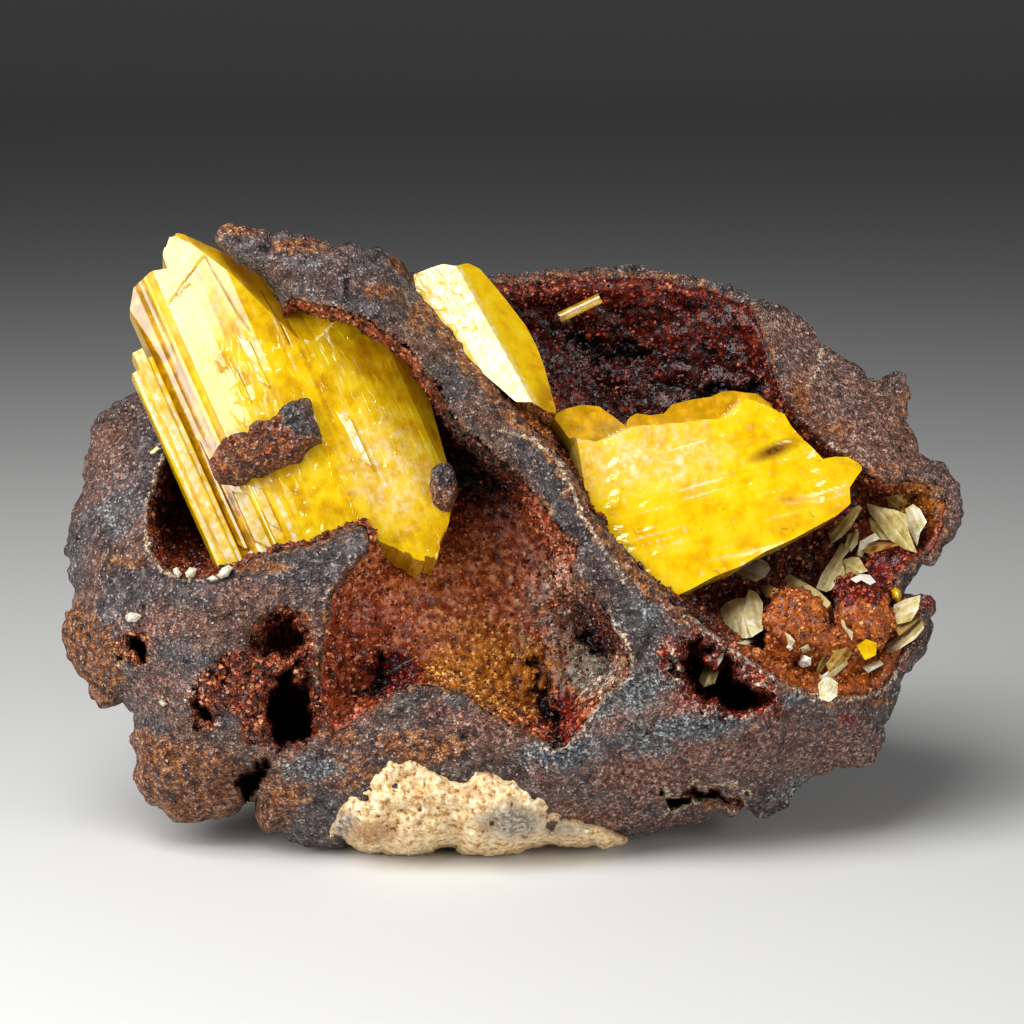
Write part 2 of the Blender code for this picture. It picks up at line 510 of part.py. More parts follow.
def cut_level(piece, height=0.0):
    """The piece cut off level at a height, as with a saw."""
    shape = bmesh.new()
    shape.from_mesh(piece.data)
    everything = list(shape.verts) + list(shape.edges) + list(shape.faces)
    cut = bmesh.ops.bisect_plane(
        shape, geom=everything, plane_co=(0, 0, height), plane_no=(0, 0, 1), clear_inner=True)
    rim = [item for item in cut["geom_cut"] if isinstance(item, bmesh.types.BMEdge)]
    bmesh.ops.holes_fill(shape, edges=rim)
    bmesh.ops.triangulate(shape, faces=shape.faces)
    shape.to_mesh(piece.data)
    shape.free()
    return piece


def resampled(piece, size, triangles):
    """The piece with an even skin of one facet size, thinned to about a number of triangles."""
    skin = piece.modifiers.new("Skin", "REMESH")
    skin.mode = "VOXEL"
    skin.voxel_size = size
    applied(piece)
    thin = piece.modifiers.new("Thin", "DECIMATE")
    thin.ratio = min(1.0, triangles / (2 * len(piece.data.polygons)))
    return applied(piece)


def main_body(piece):
    """The piece without the small bits that a cut has parted from it."""
    shape = bmesh.new()
    shape.from_mesh(piece.data)
    waiting = set(shape.verts)
    bodies = []
    while waiting:
        body, front = set(), [waiting.pop()]
        while front:
            vert = front.pop()
            body.add(vert)
            fresh = {edge.other_vert(vert) for edge in vert.link_edges} & waiting
            waiting -= fresh
            front.extend(fresh)
        bodies.append(body)
    bodies.sort(key=len)
    spare = [vert for body in bodies[:-1] for vert in body]
    bmesh.ops.delete(shape, geom=spare, context="VERTS")
    shape.to_mesh(piece.data)
    shape.free()
    return piece


def hull(name, points, grow, collection):
    """Smallest convex solid round the points, or round a small octahedron at each of them."""
    shape = bmesh.new()
    reach = HULL_REACH * grow
    steps = [Vector((0, 0, 0))]
    if grow:
        steps = [Vector(reach * np.array(axis)) for axis in np.vstack([np.eye(3), -np.eye(3)])]
    for point in points:
        for step in steps:
            shape.verts.new(Vector(point) + step)
    result = bmesh.ops.convex_hull(shape, input=shape.verts)
    spare = [item for item in result["geom_interior"] if isinstance(item, bmesh.types.BMVert)]
    bmesh.ops.delete(shape, geom=spare, context="VERTS")
    return linked(shape, name, collection)


def face_plane(knots):
    """Plane through three pixels at depths in millimetres: a point of it and its normal."""
    points = [Vector(place(across, down, toward * MM)) for across, down, toward in knots]
    normal = (points[1] - points[0]).cross(points[2] - points[0]).normalized()
    if normal.dot(eye_directions()[2]) < 0:
        normal.negate()
    return points[0], normal


def on_plane(plane, across, down, offset=0.0):
    """Point of a plane seen at a pixel, moved off it along its normal by some millimetres."""
    eye = EYE_AXIS + EYE_DISTANCE * eye_directions()[2]
    ray = Vector(place(across, down, 0.0)) - eye
    start, normal = plane
    reach = (start - eye).dot(normal) / ray.dot(normal)
    return eye + reach * ray + offset * MM * normal


def slab_points(plane, corners, back):
    """Front and back corners of a slab: pixels with front offsets, and the back's offset."""
    fore = [on_plane(plane, across, down, front) for across, down, front in corners]
    rear = [on_plane(plane, across, down, back) for across, down, _ in corners]
    return fore + rear


def crystal_pixel(b, a):
    """Pixel at a place across and along the large crystal."""
    cosine, sine = math.cos(CRYSTAL_LEAN), math.sin(CRYSTAL_LEAN)
    return sine * b + cosine * a, sine * a - cosine * b


def lining_depth(outline, floor, run, seed):
    """Depth function of a hollow's lining: its wall and floor, lifted off the rock, with lumps."""
    def depth(across, down):
        inside = inside_distance(rounded(outline), across, down) - CRUST_INSET / PIXEL
        skin = skin_depth(across, down) - LINING_DROP
        base = np.minimum(floor_depth(floor, across, down) + CRUST_LIFT / MM, skin)
        level = skin + (base - skin) * smooth_step(inside / run)
        return MM * (level + LINING_RELIEF * lumps(across, down, LINING_LUMP, seed))
    return depth


def with_nodules(depth):
    """Depth function of a lining with round nodules standing on it."""
    def raised(across, down):
        level = depth(across, down)
        for x, y, radius, top in NODULES:
            reach = np.clip(np.hypot(across - x, down - y) / radius, 0, 1)
            drop = PIXEL * radius * (1 - np.sqrt(1 - reach ** 2))
            dome = MM * top - drop
            level = np.where(reach < NODULE_EDGE, np.maximum(level, dome), level)
        return level
    return raised


def inset(outline, amount):
    """Outline moved inward by some pixels, outward when the amount is negative."""
    points = rounded(outline, 1)
    tangents = np.roll(points, -1, axis=0) - np.roll(points, 1, axis=0)
    tangents /= np.linalg.norm(tangents, axis=1, keepdims=True)
    normals = np.stack([-tangents[:, 1], tangents[:, 0]], axis=1)
    turn = np.sign(inside_distance(points, *(points + normals).T).mean())
    return [tuple(point) for point in points + amount * turn * normals]


def painted(piece, name):
    """Give the piece the Principled material of a name: its colour, roughness and clearness."""
    colour, roughness, transmission = FINISHES[name]
    material = bpy.data.materials.new(name)
    material.use_nodes = True
    shader = material.node_tree.nodes["Principled BSDF"]
    shader.inputs["Base Color"].default_value = (*colour, 1)
    shader.inputs["Roughness"].default_value = roughness
    shader.inputs["Transmission Weight"].default_value = transmission
    piece.data.materials.clear()
    piece.data.materials.append(material)
    return piece


def large_hulls(grow, collection):
    """Convex columns of the large crystal."""
    plane = face_plane(LARGE_FACE)
    hulls = []
    for corners, back in LARGE_COLUMNS:
        seen = [(*crystal_pixel(b, a), front) for b, a, front in corners]
        hulls.append(hull("column", slab_points(plane, seen, back), grow, collection))
    return hulls


def plate_hulls(grow, collection):
    """Convex layers of the plate."""
    plane = face_plane(PLATE_FACE)
    return [hull("layer", slab_points(plane, corners, back), grow, collection)
            for corners, back in PLATE_LAYERS]


def centre_hulls(grow, collection):
    """The centre crystal's ridged body."""
    fore = [Vector(place(across, down, toward * MM)) for across, down, toward in CENTRE_POINTS]
    near = eye_directions()[2]
    rear = [point - CENTRE_THICK * MM * near for point in fore]
    return [hull("body", fore + rear, grow, collection)]


def fused(name, hulls):
    """One solid from convex ones that overlap."""
    first, *others = hulls
    first.name = name
    return combined(first, others, "UNION")


def rod(collection):
    """Short square rod on the hollow's back wall."""
    fore, rear = [Vector(place(across, down, toward * MM)) for across, down, toward in ROD_ENDS]
    axis = (rear - fore).normalized()
    side = axis.cross(eye_directions()[2]).normalized() * (ROD_WIDTH / 2 * PIXEL)
    face = axis.cross(side).normalized() * (ROD_WIDTH / 2 * PIXEL)
    corners = [end + x * side + y * face for end in (fore, rear) for x in (-1, 1) for y in (-1, 1)]
    return hull("legrandite_rod", corners, 0.0, collection)


def small_crystal(name, knots, thick, collection):
    """Convex grain between some front corners and their copies behind."""
    near = eye_directions()[2]
    fore = [Vector(place(across, down, toward * MM)) for across, down, toward in knots]
    return hull(name, fore + [point - thick * MM * near for point in fore], 0.0, collection)


def chip(name, outline, plane, base, top, collection):
    """Low mound of rock on a crystal's face: a wide foot and a narrower top."""
    middle = np.mean(outline, axis=0)
    foot = [on_plane(plane, x, y, base) for x, y in outline]
    level = base + CHIP_WAIST * (top - base)
    waist = [on_plane(plane, x, y, level) for x, y in outline]
    inner = [middle + CHIP_CROWN * (np.array(point) - middle) for point in outline]
    crown = [on_plane(plane, x, y, top) for x, y in inner]
    return hull(name, foot + waist + crown, 0.0, collection)


def copy_of(piece):
    """Second object with its own copy of the piece's mesh."""
    result = piece.copy()
    result.data = piece.data.copy()
    piece.users_collection[0].objects.link(result)
    return result


def swollen(piece, amount):
    """The piece with its skin moved out by some distance."""
    push = piece.modifiers.new("Swell", "DISPLACE")
    push.strength = amount
    push.mid_level = 0.0
    return applied(piece)


def front_lining():
    """Depth function of the front hollow's lining."""
    return lining_depth(*HOLLOWS[0], FRONT_SEED)


def back_lining():
    """Depth function of the back hollow's lining, with its nodules."""
    return with_nodules(lining_depth(*HOLLOWS[1], BACK_SEED))


def far_back(across, down):
    """Depth in metres well behind everything."""
    return np.full(across.shape, FAR_BACK * MM)


def cleared(depth):
    """A depth function moved off its surface: toward the eye, and sideways where it is steep."""
    shifts = [(0, 0), (CLEAR_SIDE, 0), (-CLEAR_SIDE, 0), (0, CLEAR_SIDE), (0, -CLEAR_SIDE)]

    def raised(across, down):
        levels = [depth(across + x, down + y) for x, y in shifts]
        return np.max(levels, axis=0) + CLEAR_FRONT
    return raised


def rooted(piece, region, collection):
    """The piece trimmed where it would enter the rock or a lining."""
    tools = [relief("ground", region, ROCK_STEP, cleared(front_depth), far_back, collection)]
    for outline, lining in ((FRONT_CRUST, front_lining()), (BACK_VUG, back_lining())):
        tools.append(relief("block", inset(outline, CRUST_EDGE), CRUST_STEP / PIXEL,
                            cleared(lining), far_back, collection))
    return main_body(combined(piece, tools, "DIFFERENCE"))


def make_rock(parts):
    """The gossan and its host rock, with a socket for each big crystal."""
    rock = relief("gossan_matrix", ROCK_OUTLINE, ROCK_STEP, front_depth, back_depth, parts)
    resampled(rock, ROCK_GRAIN, ROCK_TRIANGLES)
    host = relief("pale_host_rock", HOST_OUTLINE, ROCK_STEP, host_front, host_back, parts)
    resampled(host, ROCK_GRAIN, HOST_TRIANGLES)
    combined(rock, [swollen(copy_of(host), SOCKET_GAP)], "DIFFERENCE")
    combined(rock, big_hulls(GAP, parts), "DIFFERENCE")
    main_body(rock)
    cut_level(rock)
    cut_level(host)
    painted(rock, "goethite")
    painted(host, "pale limestone")


def make_linings(parts):
    """The red-brown druse of the two big hollows."""
    step = CRUST_STEP / PIXEL
    front = crust("front_vug_druse", inset(FRONT_CRUST, CRUST_EDGE), step, front_lining(), parts)
    back = crust("back_vug_druse", inset(BACK_VUG, CRUST_EDGE), step, back_lining(), parts)
    for lining in (front, back):
        combined(lining, big_hulls(GAP, parts), "DIFFERENCE")
        main_body(lining)
        painted(lining, "goethite druse")


def make_legrandite(parts):
    """The yellow crystals, large and small."""
    crystals = [
        fused("legrandite_large", large_hulls(0.0, parts)),
        fused("legrandite_centre", centre_hulls(0.0, parts)),
        fused("legrandite_plate", plate_hulls(0.0, parts)),
        rooted(rod(parts), WALL_REGION, parts),
        rooted(small_crystal("legrandite_bud", BUD_POINTS, BUD_THICK, parts), BUD_REGION, parts),
        rooted(small_crystal("legrandite_grain", GRAIN_POINTS, GRAIN_THICK, parts), BLADE_REGION, parts)]
    for crystal in crystals:
        painted(crystal, "legrandite")


def make_chips(parts):
    """Bits of gossan stuck on the large crystal's face."""
    plane = face_plane(LARGE_FACE)
    for name, outline, heights in (("chip_on_face", CHIP_OUTLINE, CHIP_HEIGHTS),
                                   ("chip_on_edge", EDGE_CHIP_OUTLINE, EDGE_CHIP_HEIGHTS)):
        painted(chip(name, outline, plane, *heights, parts), "goethite chip")


def make_blades(parts):
    """The pale bladed crystals of the back hollow."""
    for name, corners in BLADES.items():
        raised = [(across, down, toward + BLADE_LIFT) for across, down, toward in corners]
        blade = small_crystal("cream_blade_" + name, raised, BLADE_THICK, parts)
        rooted(blade, BLADE_REGION, parts)
        painted(blade, "cream blade")


def big_hulls(grow, collection):
    """Convex parts of the three big crystals."""
    return large_hulls(grow, collection) + plate_hulls(grow, collection) + centre_hulls(grow, collection)


def build():
    """Make every piece."""
    for old in list(bpy.data.objects):
        bpy.data.objects.remove(old)
    parts = bpy.data.collections.new("legrandite_specimen")
    bpy.context.scene.collection.children.link(parts)
    make_rock(parts)
    make_linings(parts)
    make_legrandite(parts)
    make_chips(parts)
    make_blades(parts)


build()
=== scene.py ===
# %% [markdown]
# # A legrandite specimen
# Yellow legrandite crystals grew in the hollows of a dark iron rock called gossan. The rock's
# skin is broken, its hollows are lined with tiny red-brown crystals, and cream blades of another
# mineral stand in the hollow on the right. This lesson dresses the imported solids, piece by piece.

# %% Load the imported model
import math

import bpy
import numpy as np
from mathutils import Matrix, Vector


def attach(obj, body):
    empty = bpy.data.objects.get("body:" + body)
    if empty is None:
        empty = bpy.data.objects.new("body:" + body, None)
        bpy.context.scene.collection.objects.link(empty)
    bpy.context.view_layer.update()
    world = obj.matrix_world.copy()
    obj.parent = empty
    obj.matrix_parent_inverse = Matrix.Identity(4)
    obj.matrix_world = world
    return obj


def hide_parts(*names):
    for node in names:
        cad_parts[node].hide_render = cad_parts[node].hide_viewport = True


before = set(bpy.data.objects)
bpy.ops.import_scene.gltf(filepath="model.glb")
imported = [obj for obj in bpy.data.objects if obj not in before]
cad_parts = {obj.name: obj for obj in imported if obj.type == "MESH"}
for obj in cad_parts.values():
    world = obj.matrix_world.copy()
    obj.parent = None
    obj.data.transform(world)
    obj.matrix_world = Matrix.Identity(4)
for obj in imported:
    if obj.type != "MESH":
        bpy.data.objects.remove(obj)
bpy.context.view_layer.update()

# %% [markdown]
# ## The picture plane
# Every outline is drawn as the eye sees it, in pixels of a 1024 pixel picture. A pixel becomes a
# real point once a depth is chosen: the distance toward the eye from an upright plane through
# the specimen. A nearer point is drawn in toward the eye's axis, which is plain perspective. The
# solids were built with the same rule, so a piece made here lands where its solid is.

# %% From pixels to metres
MM = 0.001
PIXEL = 0.1 * MM                  # what one pixel spans in the picture plane
PICTURE_MIDDLE = 512.0            # pixel on the eye's axis, across and down
EYE_DISTANCE = 284 * MM           # from the eye to the picture plane
EYE_ELEVATION = math.radians(10)  # how far the eye looks down
EYE_AXIS = np.array([-0.00034, -0.00465, 0.0326])  # where the eye's axis meets the plane
RIGHT = np.array([1.0, 0.0, 0.0])
UP = np.array([0.0, math.sin(EYE_ELEVATION), math.cos(EYE_ELEVATION)])
NEAR = np.array([0.0, -math.cos(EYE_ELEVATION), math.sin(EYE_ELEVATION)])
EYE = EYE_AXIS + EYE_DISTANCE * NEAR
print("eye at", EYE.round(4), "metres")


# %% A pixel at a depth
def place(across, down, toward):
    """Point = axis + shrink (pixel - middle) sideways and upward + depth toward the eye, where
    shrink = pixel size x (1 - depth / eye distance). Depths are in millimetres."""
    across, down, toward = np.broadcast_arrays(across, down, toward)
    shrink = PIXEL * (1 - toward * MM / EYE_DISTANCE)
    steps = ((across - PICTURE_MIDDLE) * shrink, (PICTURE_MIDDLE - down) * shrink, toward * MM)
    ways = (RIGHT, UP, NEAR)
    return EYE_AXIS + sum(np.multiply.outer(step, way) for step, way in zip(steps, ways))


print("middle of the picture:", place(PICTURE_MIDDLE, PICTURE_MIDDLE, 0.0).round(4), "metres")


# %% Faces as planes
def face_plane(knots):
    """Plane through three pixels at depths: a point of it and its normal, on the eye's side."""
    points = [place(*knot) for knot in knots]
    normal = np.cross(points[1] - points[0], points[2] - points[0])
    normal /= np.linalg.norm(normal)
    return points[0], normal if normal @ NEAR > 0 else -normal


def on_plane(plane, across, down, offset):
    """Where the eye's ray through a pixel meets a plane, then moved off it by millimetres."""
    rays = place(across, down, np.zeros_like(across)) - EYE
    start, normal = plane
    reach = ((start - EYE) @ normal) / (rays @ normal)
    return EYE + reach[..., None] * rays + np.multiply.outer(offset * MM, normal)


print("way of a face toward the eye:", face_plane([(0, 0, 0), (9, 0, 0), (0, 9, 0)])[1].round(2))

# %% [markdown]
# ## Outlines and depths
# The same named numbers as the solids were built from. An outline is a ring of pixels. A depth
# knot is a pixel and a depth in millimetres, and a thin plate, the sheet that bends least, is
# laid through the knots.

# %% Outlines in pixels, depths in millimetres
# Outlines, in pixels across and down.
ROCK_OUTLINE = [
    (64, 613), (77, 591), (66, 576), (67, 550), (69, 525), (82, 494), (87, 467), (89, 433),
    (98, 415), (118, 400), (138, 387), (170, 392), (205, 380), (240, 352), (272, 318),
    (282, 296), (254, 268), (217, 250), (214, 236), (220, 221), (240, 226), (266, 229),
    (298, 234), (318, 242), (338, 241), (361, 247), (384, 251), (400, 261), (413, 272),
    (440, 285), (470, 280), (485, 275), (520, 272), (560, 270), (596, 268), (635, 266),
    (675, 273), (722, 283), (768, 303), (808, 320), (823, 345), (838, 353), (877, 382),
    (886, 376), (899, 373), (909, 381), (911, 403), (906, 424), (917, 443), (925, 458),
    (944, 464), (957, 479), (966, 497), (964, 520), (952, 544), (928, 564), (917, 578),
    (904, 588), (905, 594), (924, 591), (938, 604), (932, 621), (930, 640), (913, 670),
    (903, 678), (896, 701), (887, 721), (883, 740), (875, 760), (862, 768), (842, 765),
    (835, 770), (815, 776), (797, 789), (791, 803), (779, 809), (762, 820), (744, 805),
    (740, 815), (720, 812), (697, 824), (667, 831), (640, 834), (600, 838), (540, 842),
    (470, 846), (400, 846), (345, 845), (320, 845), (294, 845), (285, 830), (272, 836),
    (254, 828), (254, 815), (252, 800), (241, 808), (223, 821), (200, 822), (178, 827),
    (165, 814), (143, 796), (133, 775), (137, 760), (130, 741), (138, 721), (123, 705),
    (110, 706), (100, 711), (93, 705), (88, 678), (74, 672), (68, 655), (60, 638)]
HOST_OUTLINE = [
    (312, 813), (325, 790), (344, 768), (370, 744), (397, 738), (430, 750), (460, 773),
    (474, 761), (508, 766), (542, 781), (591, 814), (632, 839), (625, 846), (598, 848),
    (557, 844), (530, 850), (511, 857), (491, 861), (467, 855), (450, 847), (438, 850),
    (402, 858), (363, 852), (345, 843), (325, 838)]
FRONT_VUG = [
    (159, 473), (172, 440), (195, 395), (240, 355), (275, 322), (290, 297), (316, 305),
    (345, 310), (376, 325), (395, 340), (411, 352), (430, 375), (445, 400), (453, 420),
    (477, 440), (495, 456), (518, 472), (534, 488), (546, 509), (559, 529), (573, 538),
    (580, 556), (566, 570), (589, 590), (607, 613), (618, 632), (632, 654), (628, 680),
    (600, 700), (580, 735), (560, 750), (535, 740), (500, 718), (460, 695), (430, 683),
    (410, 688), (385, 702), (360, 720), (330, 745), (318, 700), (322, 640), (330, 600),
    (345, 570), (372, 550), (366, 520), (345, 533), (310, 548), (270, 555), (235, 572),
    (205, 580), (175, 577), (152, 560), (148, 535), (148, 500)]
BACK_VUG = [
    (425, 292), (450, 290), (485, 282), (520, 279), (560, 277), (600, 275), (640, 273),
    (675, 280), (722, 291), (757, 308), (762, 330), (767, 350), (778, 379), (790, 410),
    (821, 442), (850, 457), (880, 480), (905, 482), (930, 485), (946, 500), (948, 525),
    (935, 550), (905, 568), (893, 590), (912, 603), (922, 612), (915, 640), (897, 662),
    (890, 690), (845, 698), (800, 692), (765, 672), (735, 652), (700, 625), (665, 598),
    (645, 570), (612, 540), (595, 515), (580, 490), (566, 465), (548, 440), (525, 420),
    (505, 400), (482, 370), (458, 335), (435, 310)]
DARK_POCKET = [
    (262, 672), (285, 664), (312, 672), (322, 700), (312, 735), (285, 750), (262, 735), (268, 700)]
DRUSE_POCKET = [
    (255, 625), (280, 608), (305, 620), (318, 645), (300, 660), (268, 662), (250, 648)]
SIDE_POCKET = [(187, 700), (200, 688), (214, 698), (213, 722), (201, 731), (189, 718)]
LEFT_POCKET = [(120, 640), (133, 630), (150, 640), (150, 656), (138, 666), (122, 658)]
RED_POCKET = [
    (672, 652), (690, 640), (715, 650), (745, 668), (765, 690), (765, 712), (742, 718),
    (712, 706), (690, 690), (672, 672)]
SLIT = [(660, 801), (690, 788), (725, 786), (745, 796), (738, 806), (705, 800), (675, 808)]
LUMP_CREASE = [(236, 778), (252, 766), (270, 762), (268, 776), (256, 796), (246, 806)]

print("the rock's outline has", len(ROCK_OUTLINE), "corners")

# %% Depths of the broken skin, of the hollows' floors, of the rim and of the back
# Each knot is pixel across, pixel down, millimetres toward the eye.
SKIN_DEPTHS = [
    (100, 430, 0), (120, 480, 4), (85, 540, 4), (145, 440, 2), (125, 560, 9), (160, 600, 13),
    (95, 620, 8), (180, 640, 15), (250, 600, 15), (320, 575, 14), (360, 535, 12),
    (200, 700, 13), (300, 720, 14), (110, 680, 6), (180, 780, 7), (150, 745, 8),
    (230, 780, 8), (280, 800, 9), (250, 245, 7), (320, 275, 9), (380, 300, 10),
    (420, 340, 10), (460, 395, 11), (500, 440, 12), (540, 480, 12), (575, 520, 12),
    (610, 570, 12), (640, 610, 13), (660, 650, 14), (700, 660, 13), (380, 720, 14),
    (430, 700, 14), (500, 735, 14), (560, 765, 14), (620, 720, 14), (600, 790, 12),
    (640, 800, 10), (700, 750, 13), (760, 740, 12), (820, 735, 9), (850, 705, 9),
    (740, 690, 13), (880, 700, 6), (700, 800, 8), (780, 790, 6), (800, 705, 11),
    (925, 585, 5), (940, 520, 2), (945, 480, 0), (910, 430, -3), (870, 400, -4),
    (820, 340, -8), (785, 345, -6), (800, 400, -2), (840, 450, 1), (900, 465, 1),
    (930, 610, 5), (905, 680, 5), (520, 285, -8), (600, 275, -9), (680, 285, -9),
    (750, 310, -8), (350, 800, 11), (450, 820, 10), (300, 640, 14)]
FRONT_FLOOR = [
    (480, 440, -9), (460, 490, -7), (520, 520, -4), (450, 570, -1), (400, 585, 2),
    (355, 610, 6), (345, 700, 7), (380, 680, 2), (440, 650, 1), (500, 620, -3),
    (560, 640, -3), (600, 640, -2), (540, 700, 0), (580, 700, 0), (560, 735, 1),
    (600, 600, -1), (430, 420, -9), (190, 520, -6), (170, 490, -4), (220, 420, -6),
    (300, 370, -6), (380, 400, -7), (350, 480, -5), (250, 500, -5), (200, 560, 0),
    (430, 690, 3), (500, 700, 2)]
BACK_FLOOR = [
    (450, 310, -7), (520, 320, -12), (600, 340, -14), (700, 350, -13), (755, 385, -11),
    (640, 400, -14), (560, 440, -10), (700, 450, -12), (620, 520, -6), (700, 560, -6),
    (760, 550, -6), (800, 500, -7), (860, 530, -5), (930, 520, -3), (900, 570, -1),
    (850, 640, 1), (780, 640, 1), (720, 620, 0), (690, 610, 3), (640, 565, 0),
    (870, 680, 4), (800, 685, 6), (520, 300, -10), (600, 290, -11), (690, 300, -11)]
RIM_DEPTHS = [
    (600, 266, -10), (485, 275, -8), (740, 290, -10), (820, 335, -9), (878, 382, -6),
    (966, 500, -1), (920, 590, 3), (900, 690, 3), (850, 768, 3), (760, 820, 3),
    (640, 835, 4), (500, 860, 5), (350, 850, 4), (260, 830, 3), (180, 827, 2), (130, 741, 3),
    (62, 638, 2), (67, 550, 0), (90, 430, -3), (138, 387, -4), (220, 370, -5),
    (275, 300, 0), (230, 255, 4), (220, 225, 4), (300, 235, 4), (384, 251, 3), (440, 285, -4)]
BACK_DEPTHS = [
    (512, 560, -26), (700, 380, -23), (560, 360, -23), (820, 420, -18), (870, 560, -16),
    (800, 660, -18), (650, 700, -23), (400, 720, -21), (250, 700, -17), (150, 620, -14),
    (130, 480, -13), (300, 450, -17), (400, 400, -18), (400, 300, -12), (500, 800, -18)]
print(len(SKIN_DEPTHS), "depth knots on the skin")

# %% Hollows, waves and nodules
HOLLOWS = {  # outline, floor depths or one depth, run of the wall in pixels
    "front": (FRONT_VUG, FRONT_FLOOR, 26), "back": (BACK_VUG, BACK_FLOOR, 24),
    "dark": (DARK_POCKET, 1.0, 14), "druse": (DRUSE_POCKET, 8.0, 16),
    "side": (SIDE_POCKET, 7.0, 12), "left": (LEFT_POCKET, 4.0, 12),
    "red": (RED_POCKET, 2.0, 20), "slit": (SLIT, 2.0, 10), "crease": (LUMP_CREASE, 0.0, 12)}
SKIN_WAVES = [(0.9, 55.0, 3), (0.5, 24.0, 4)]    # height in millimetres, spacing in pixels, seed
BACK_WAVES = [(1.4, 90.0, 5), (0.8, 38.0, 6), (0.35, 14.0, 61)]
NODULES = [(797, 622, 33, 9.5), (863, 618, 31, 9.0), (828, 660, 24, 6.5)]  # pixels, radius, top
HOST_DEPTHS = [
    (350, 800, 11), (400, 765, 13), (450, 800, 13), (520, 800, 13), (590, 830, 9), (480, 845, 9),
    (330, 815, 9), (400, 840, 10)]
print(len(HOLLOWS), "hollows")

# %% [markdown]
# ## Helpers for shapes worked out as arrays
# Each helper takes whole arrays of pixels and gives back whole arrays of values. Each noise has
# a seed of its own, a plain number, so that every run makes the same specimen.


# %% Outlines
def held(value):
    """The value, but never under 0 or over 1."""
    return np.clip(value, 0, 1)


def rounded(outline, rounds=2):
    """Each side's quarter points replace its corners, a few times over."""
    points = np.array(outline, float)
    for _ in range(rounds):
        ahead = np.roll(points, -1, axis=0)
        points = np.stack([0.75 * points + 0.25 * ahead, 0.25 * points + 0.75 * ahead], axis=1)
        points = points.reshape(-1, 2)
    return points


def dense(outline, step=4.0):
    """A ring with its sides cut into pieces of about a step."""
    parts = []
    for start, end in zip(outline, np.roll(outline, -1, axis=0)):
        count = max(1, int(np.hypot(*(end - start)) / step))
        parts.append(start + (end - start) * (np.arange(count) / count)[:, None])
    return np.concatenate(parts)


def inside_distance(outline, across, down, reach=90.0):
    """Distance in pixels to the nearest side of a ring, positive inside it, out to a reach."""
    outline = np.asarray(outline, float)
    low, high = outline.min(axis=0) - reach, outline.max(axis=0) + reach
    close = (across > low[0]) & (across < high[0]) & (down > low[1]) & (down < high[1])
    x, y = across[close], down[close]
    nearest = np.full(x.shape, np.inf)
    inside = np.zeros(x.shape, bool)
    for (ax, ay), (bx, by) in zip(outline, np.roll(outline, -1, axis=0)):
        ex, ey = bx - ax, by - ay
        px, py = x - ax, y - ay
        share = held((px * ex + py * ey) / (ex * ex + ey * ey))
        nearest = np.minimum(nearest, (px - share * ex) ** 2 + (py - share * ey) ** 2)
        if ay != by:
            inside ^= ((ay > y) != (by > y)) & (px < ex * py / ey)
    result = np.full(across.shape, -reach)
    result[close] = np.where(inside, np.sqrt(nearest), -np.sqrt(nearest))
    return result


print("rock outline, rounded:", len(dense(rounded(ROCK_OUTLINE))), "points")


# %% Thin plates
def thin_plate(knots, across, down):
    """Sum of r squared log r round each knot, plus a flat tilt, weighted to meet every knot."""
    knots = np.array(knots, float)
    sites = knots[:, :2] / 100
    count = len(sites)

    def kernel(squared):
        return 0.5 * squared * np.log(squared + 1e-9)

    system = np.zeros((count + 3, count + 3))
    system[:count, :count] = kernel(((sites[:, None] - sites[None]) ** 2).sum(axis=2))
    system[:count, :count] += 0.02 * np.eye(count)
    system[:count, count:] = np.column_stack([np.ones(count), sites])
    system[count:, :count] = system[:count, count:].T
    weights = np.linalg.solve(system, np.append(knots[:, 2], np.zeros(3)))
    points = np.stack([across, down], axis=-1) / 100
    result = weights[count] + points @ weights[count + 1:]
    for site, weight in zip(sites, weights):
        result += weight * kernel(((points - site) ** 2).sum(axis=-1))
    return result


def smooth_step(value):
    """3 v squared - 2 v cubed, for v held between 0 and 1."""
    value = held(value)
    return value * value * (3 - 2 * value)


print("skin above the middle:", thin_plate(SKIN_DEPTHS, np.array([512.0]), np.array([420.0])), "mm")


# %% Noise
def scrambled(cells, seed):
    """A repeatable value from -1 to 1 for each whole-numbered cell."""
    steps = np.array([73856093, 19349663, 83492791])[:cells.shape[-1]]
    mixed = (np.bitwise_xor.reduce(cells.astype(np.int64) * steps, axis=-1) + seed * 668265263)
    mixed &= 0x7FFFFFFF
    mixed = ((mixed ^ (mixed >> 13)) * 1274126177) & 0x7FFFFFFF
    return ((mixed ^ (mixed >> 16)) & 0xFFFF) / 0x7FFF - 1


def noise(points, size, seed):
    """Smooth noise from -1 to 1: each lattice corner has its value, eased between corners."""
    cells = np.floor(points / size)
    blend = smooth_step(points / size - cells)
    total = np.zeros(points.shape[:-1])
    for corner in np.ndindex(*(2,) * points.shape[-1]):
        share = np.prod(np.where(corner, blend, 1 - blend), axis=-1)
        total += share * scrambled(cells + corner, seed)
    return total


def flat_noise(across, down, size, seed):
    """The same noise over pixels."""
    return noise(np.stack([across, down], axis=-1), size, seed)


print("noise along a line:", flat_noise(np.arange(4.0), np.zeros(4), 3.0, 1).round(2))


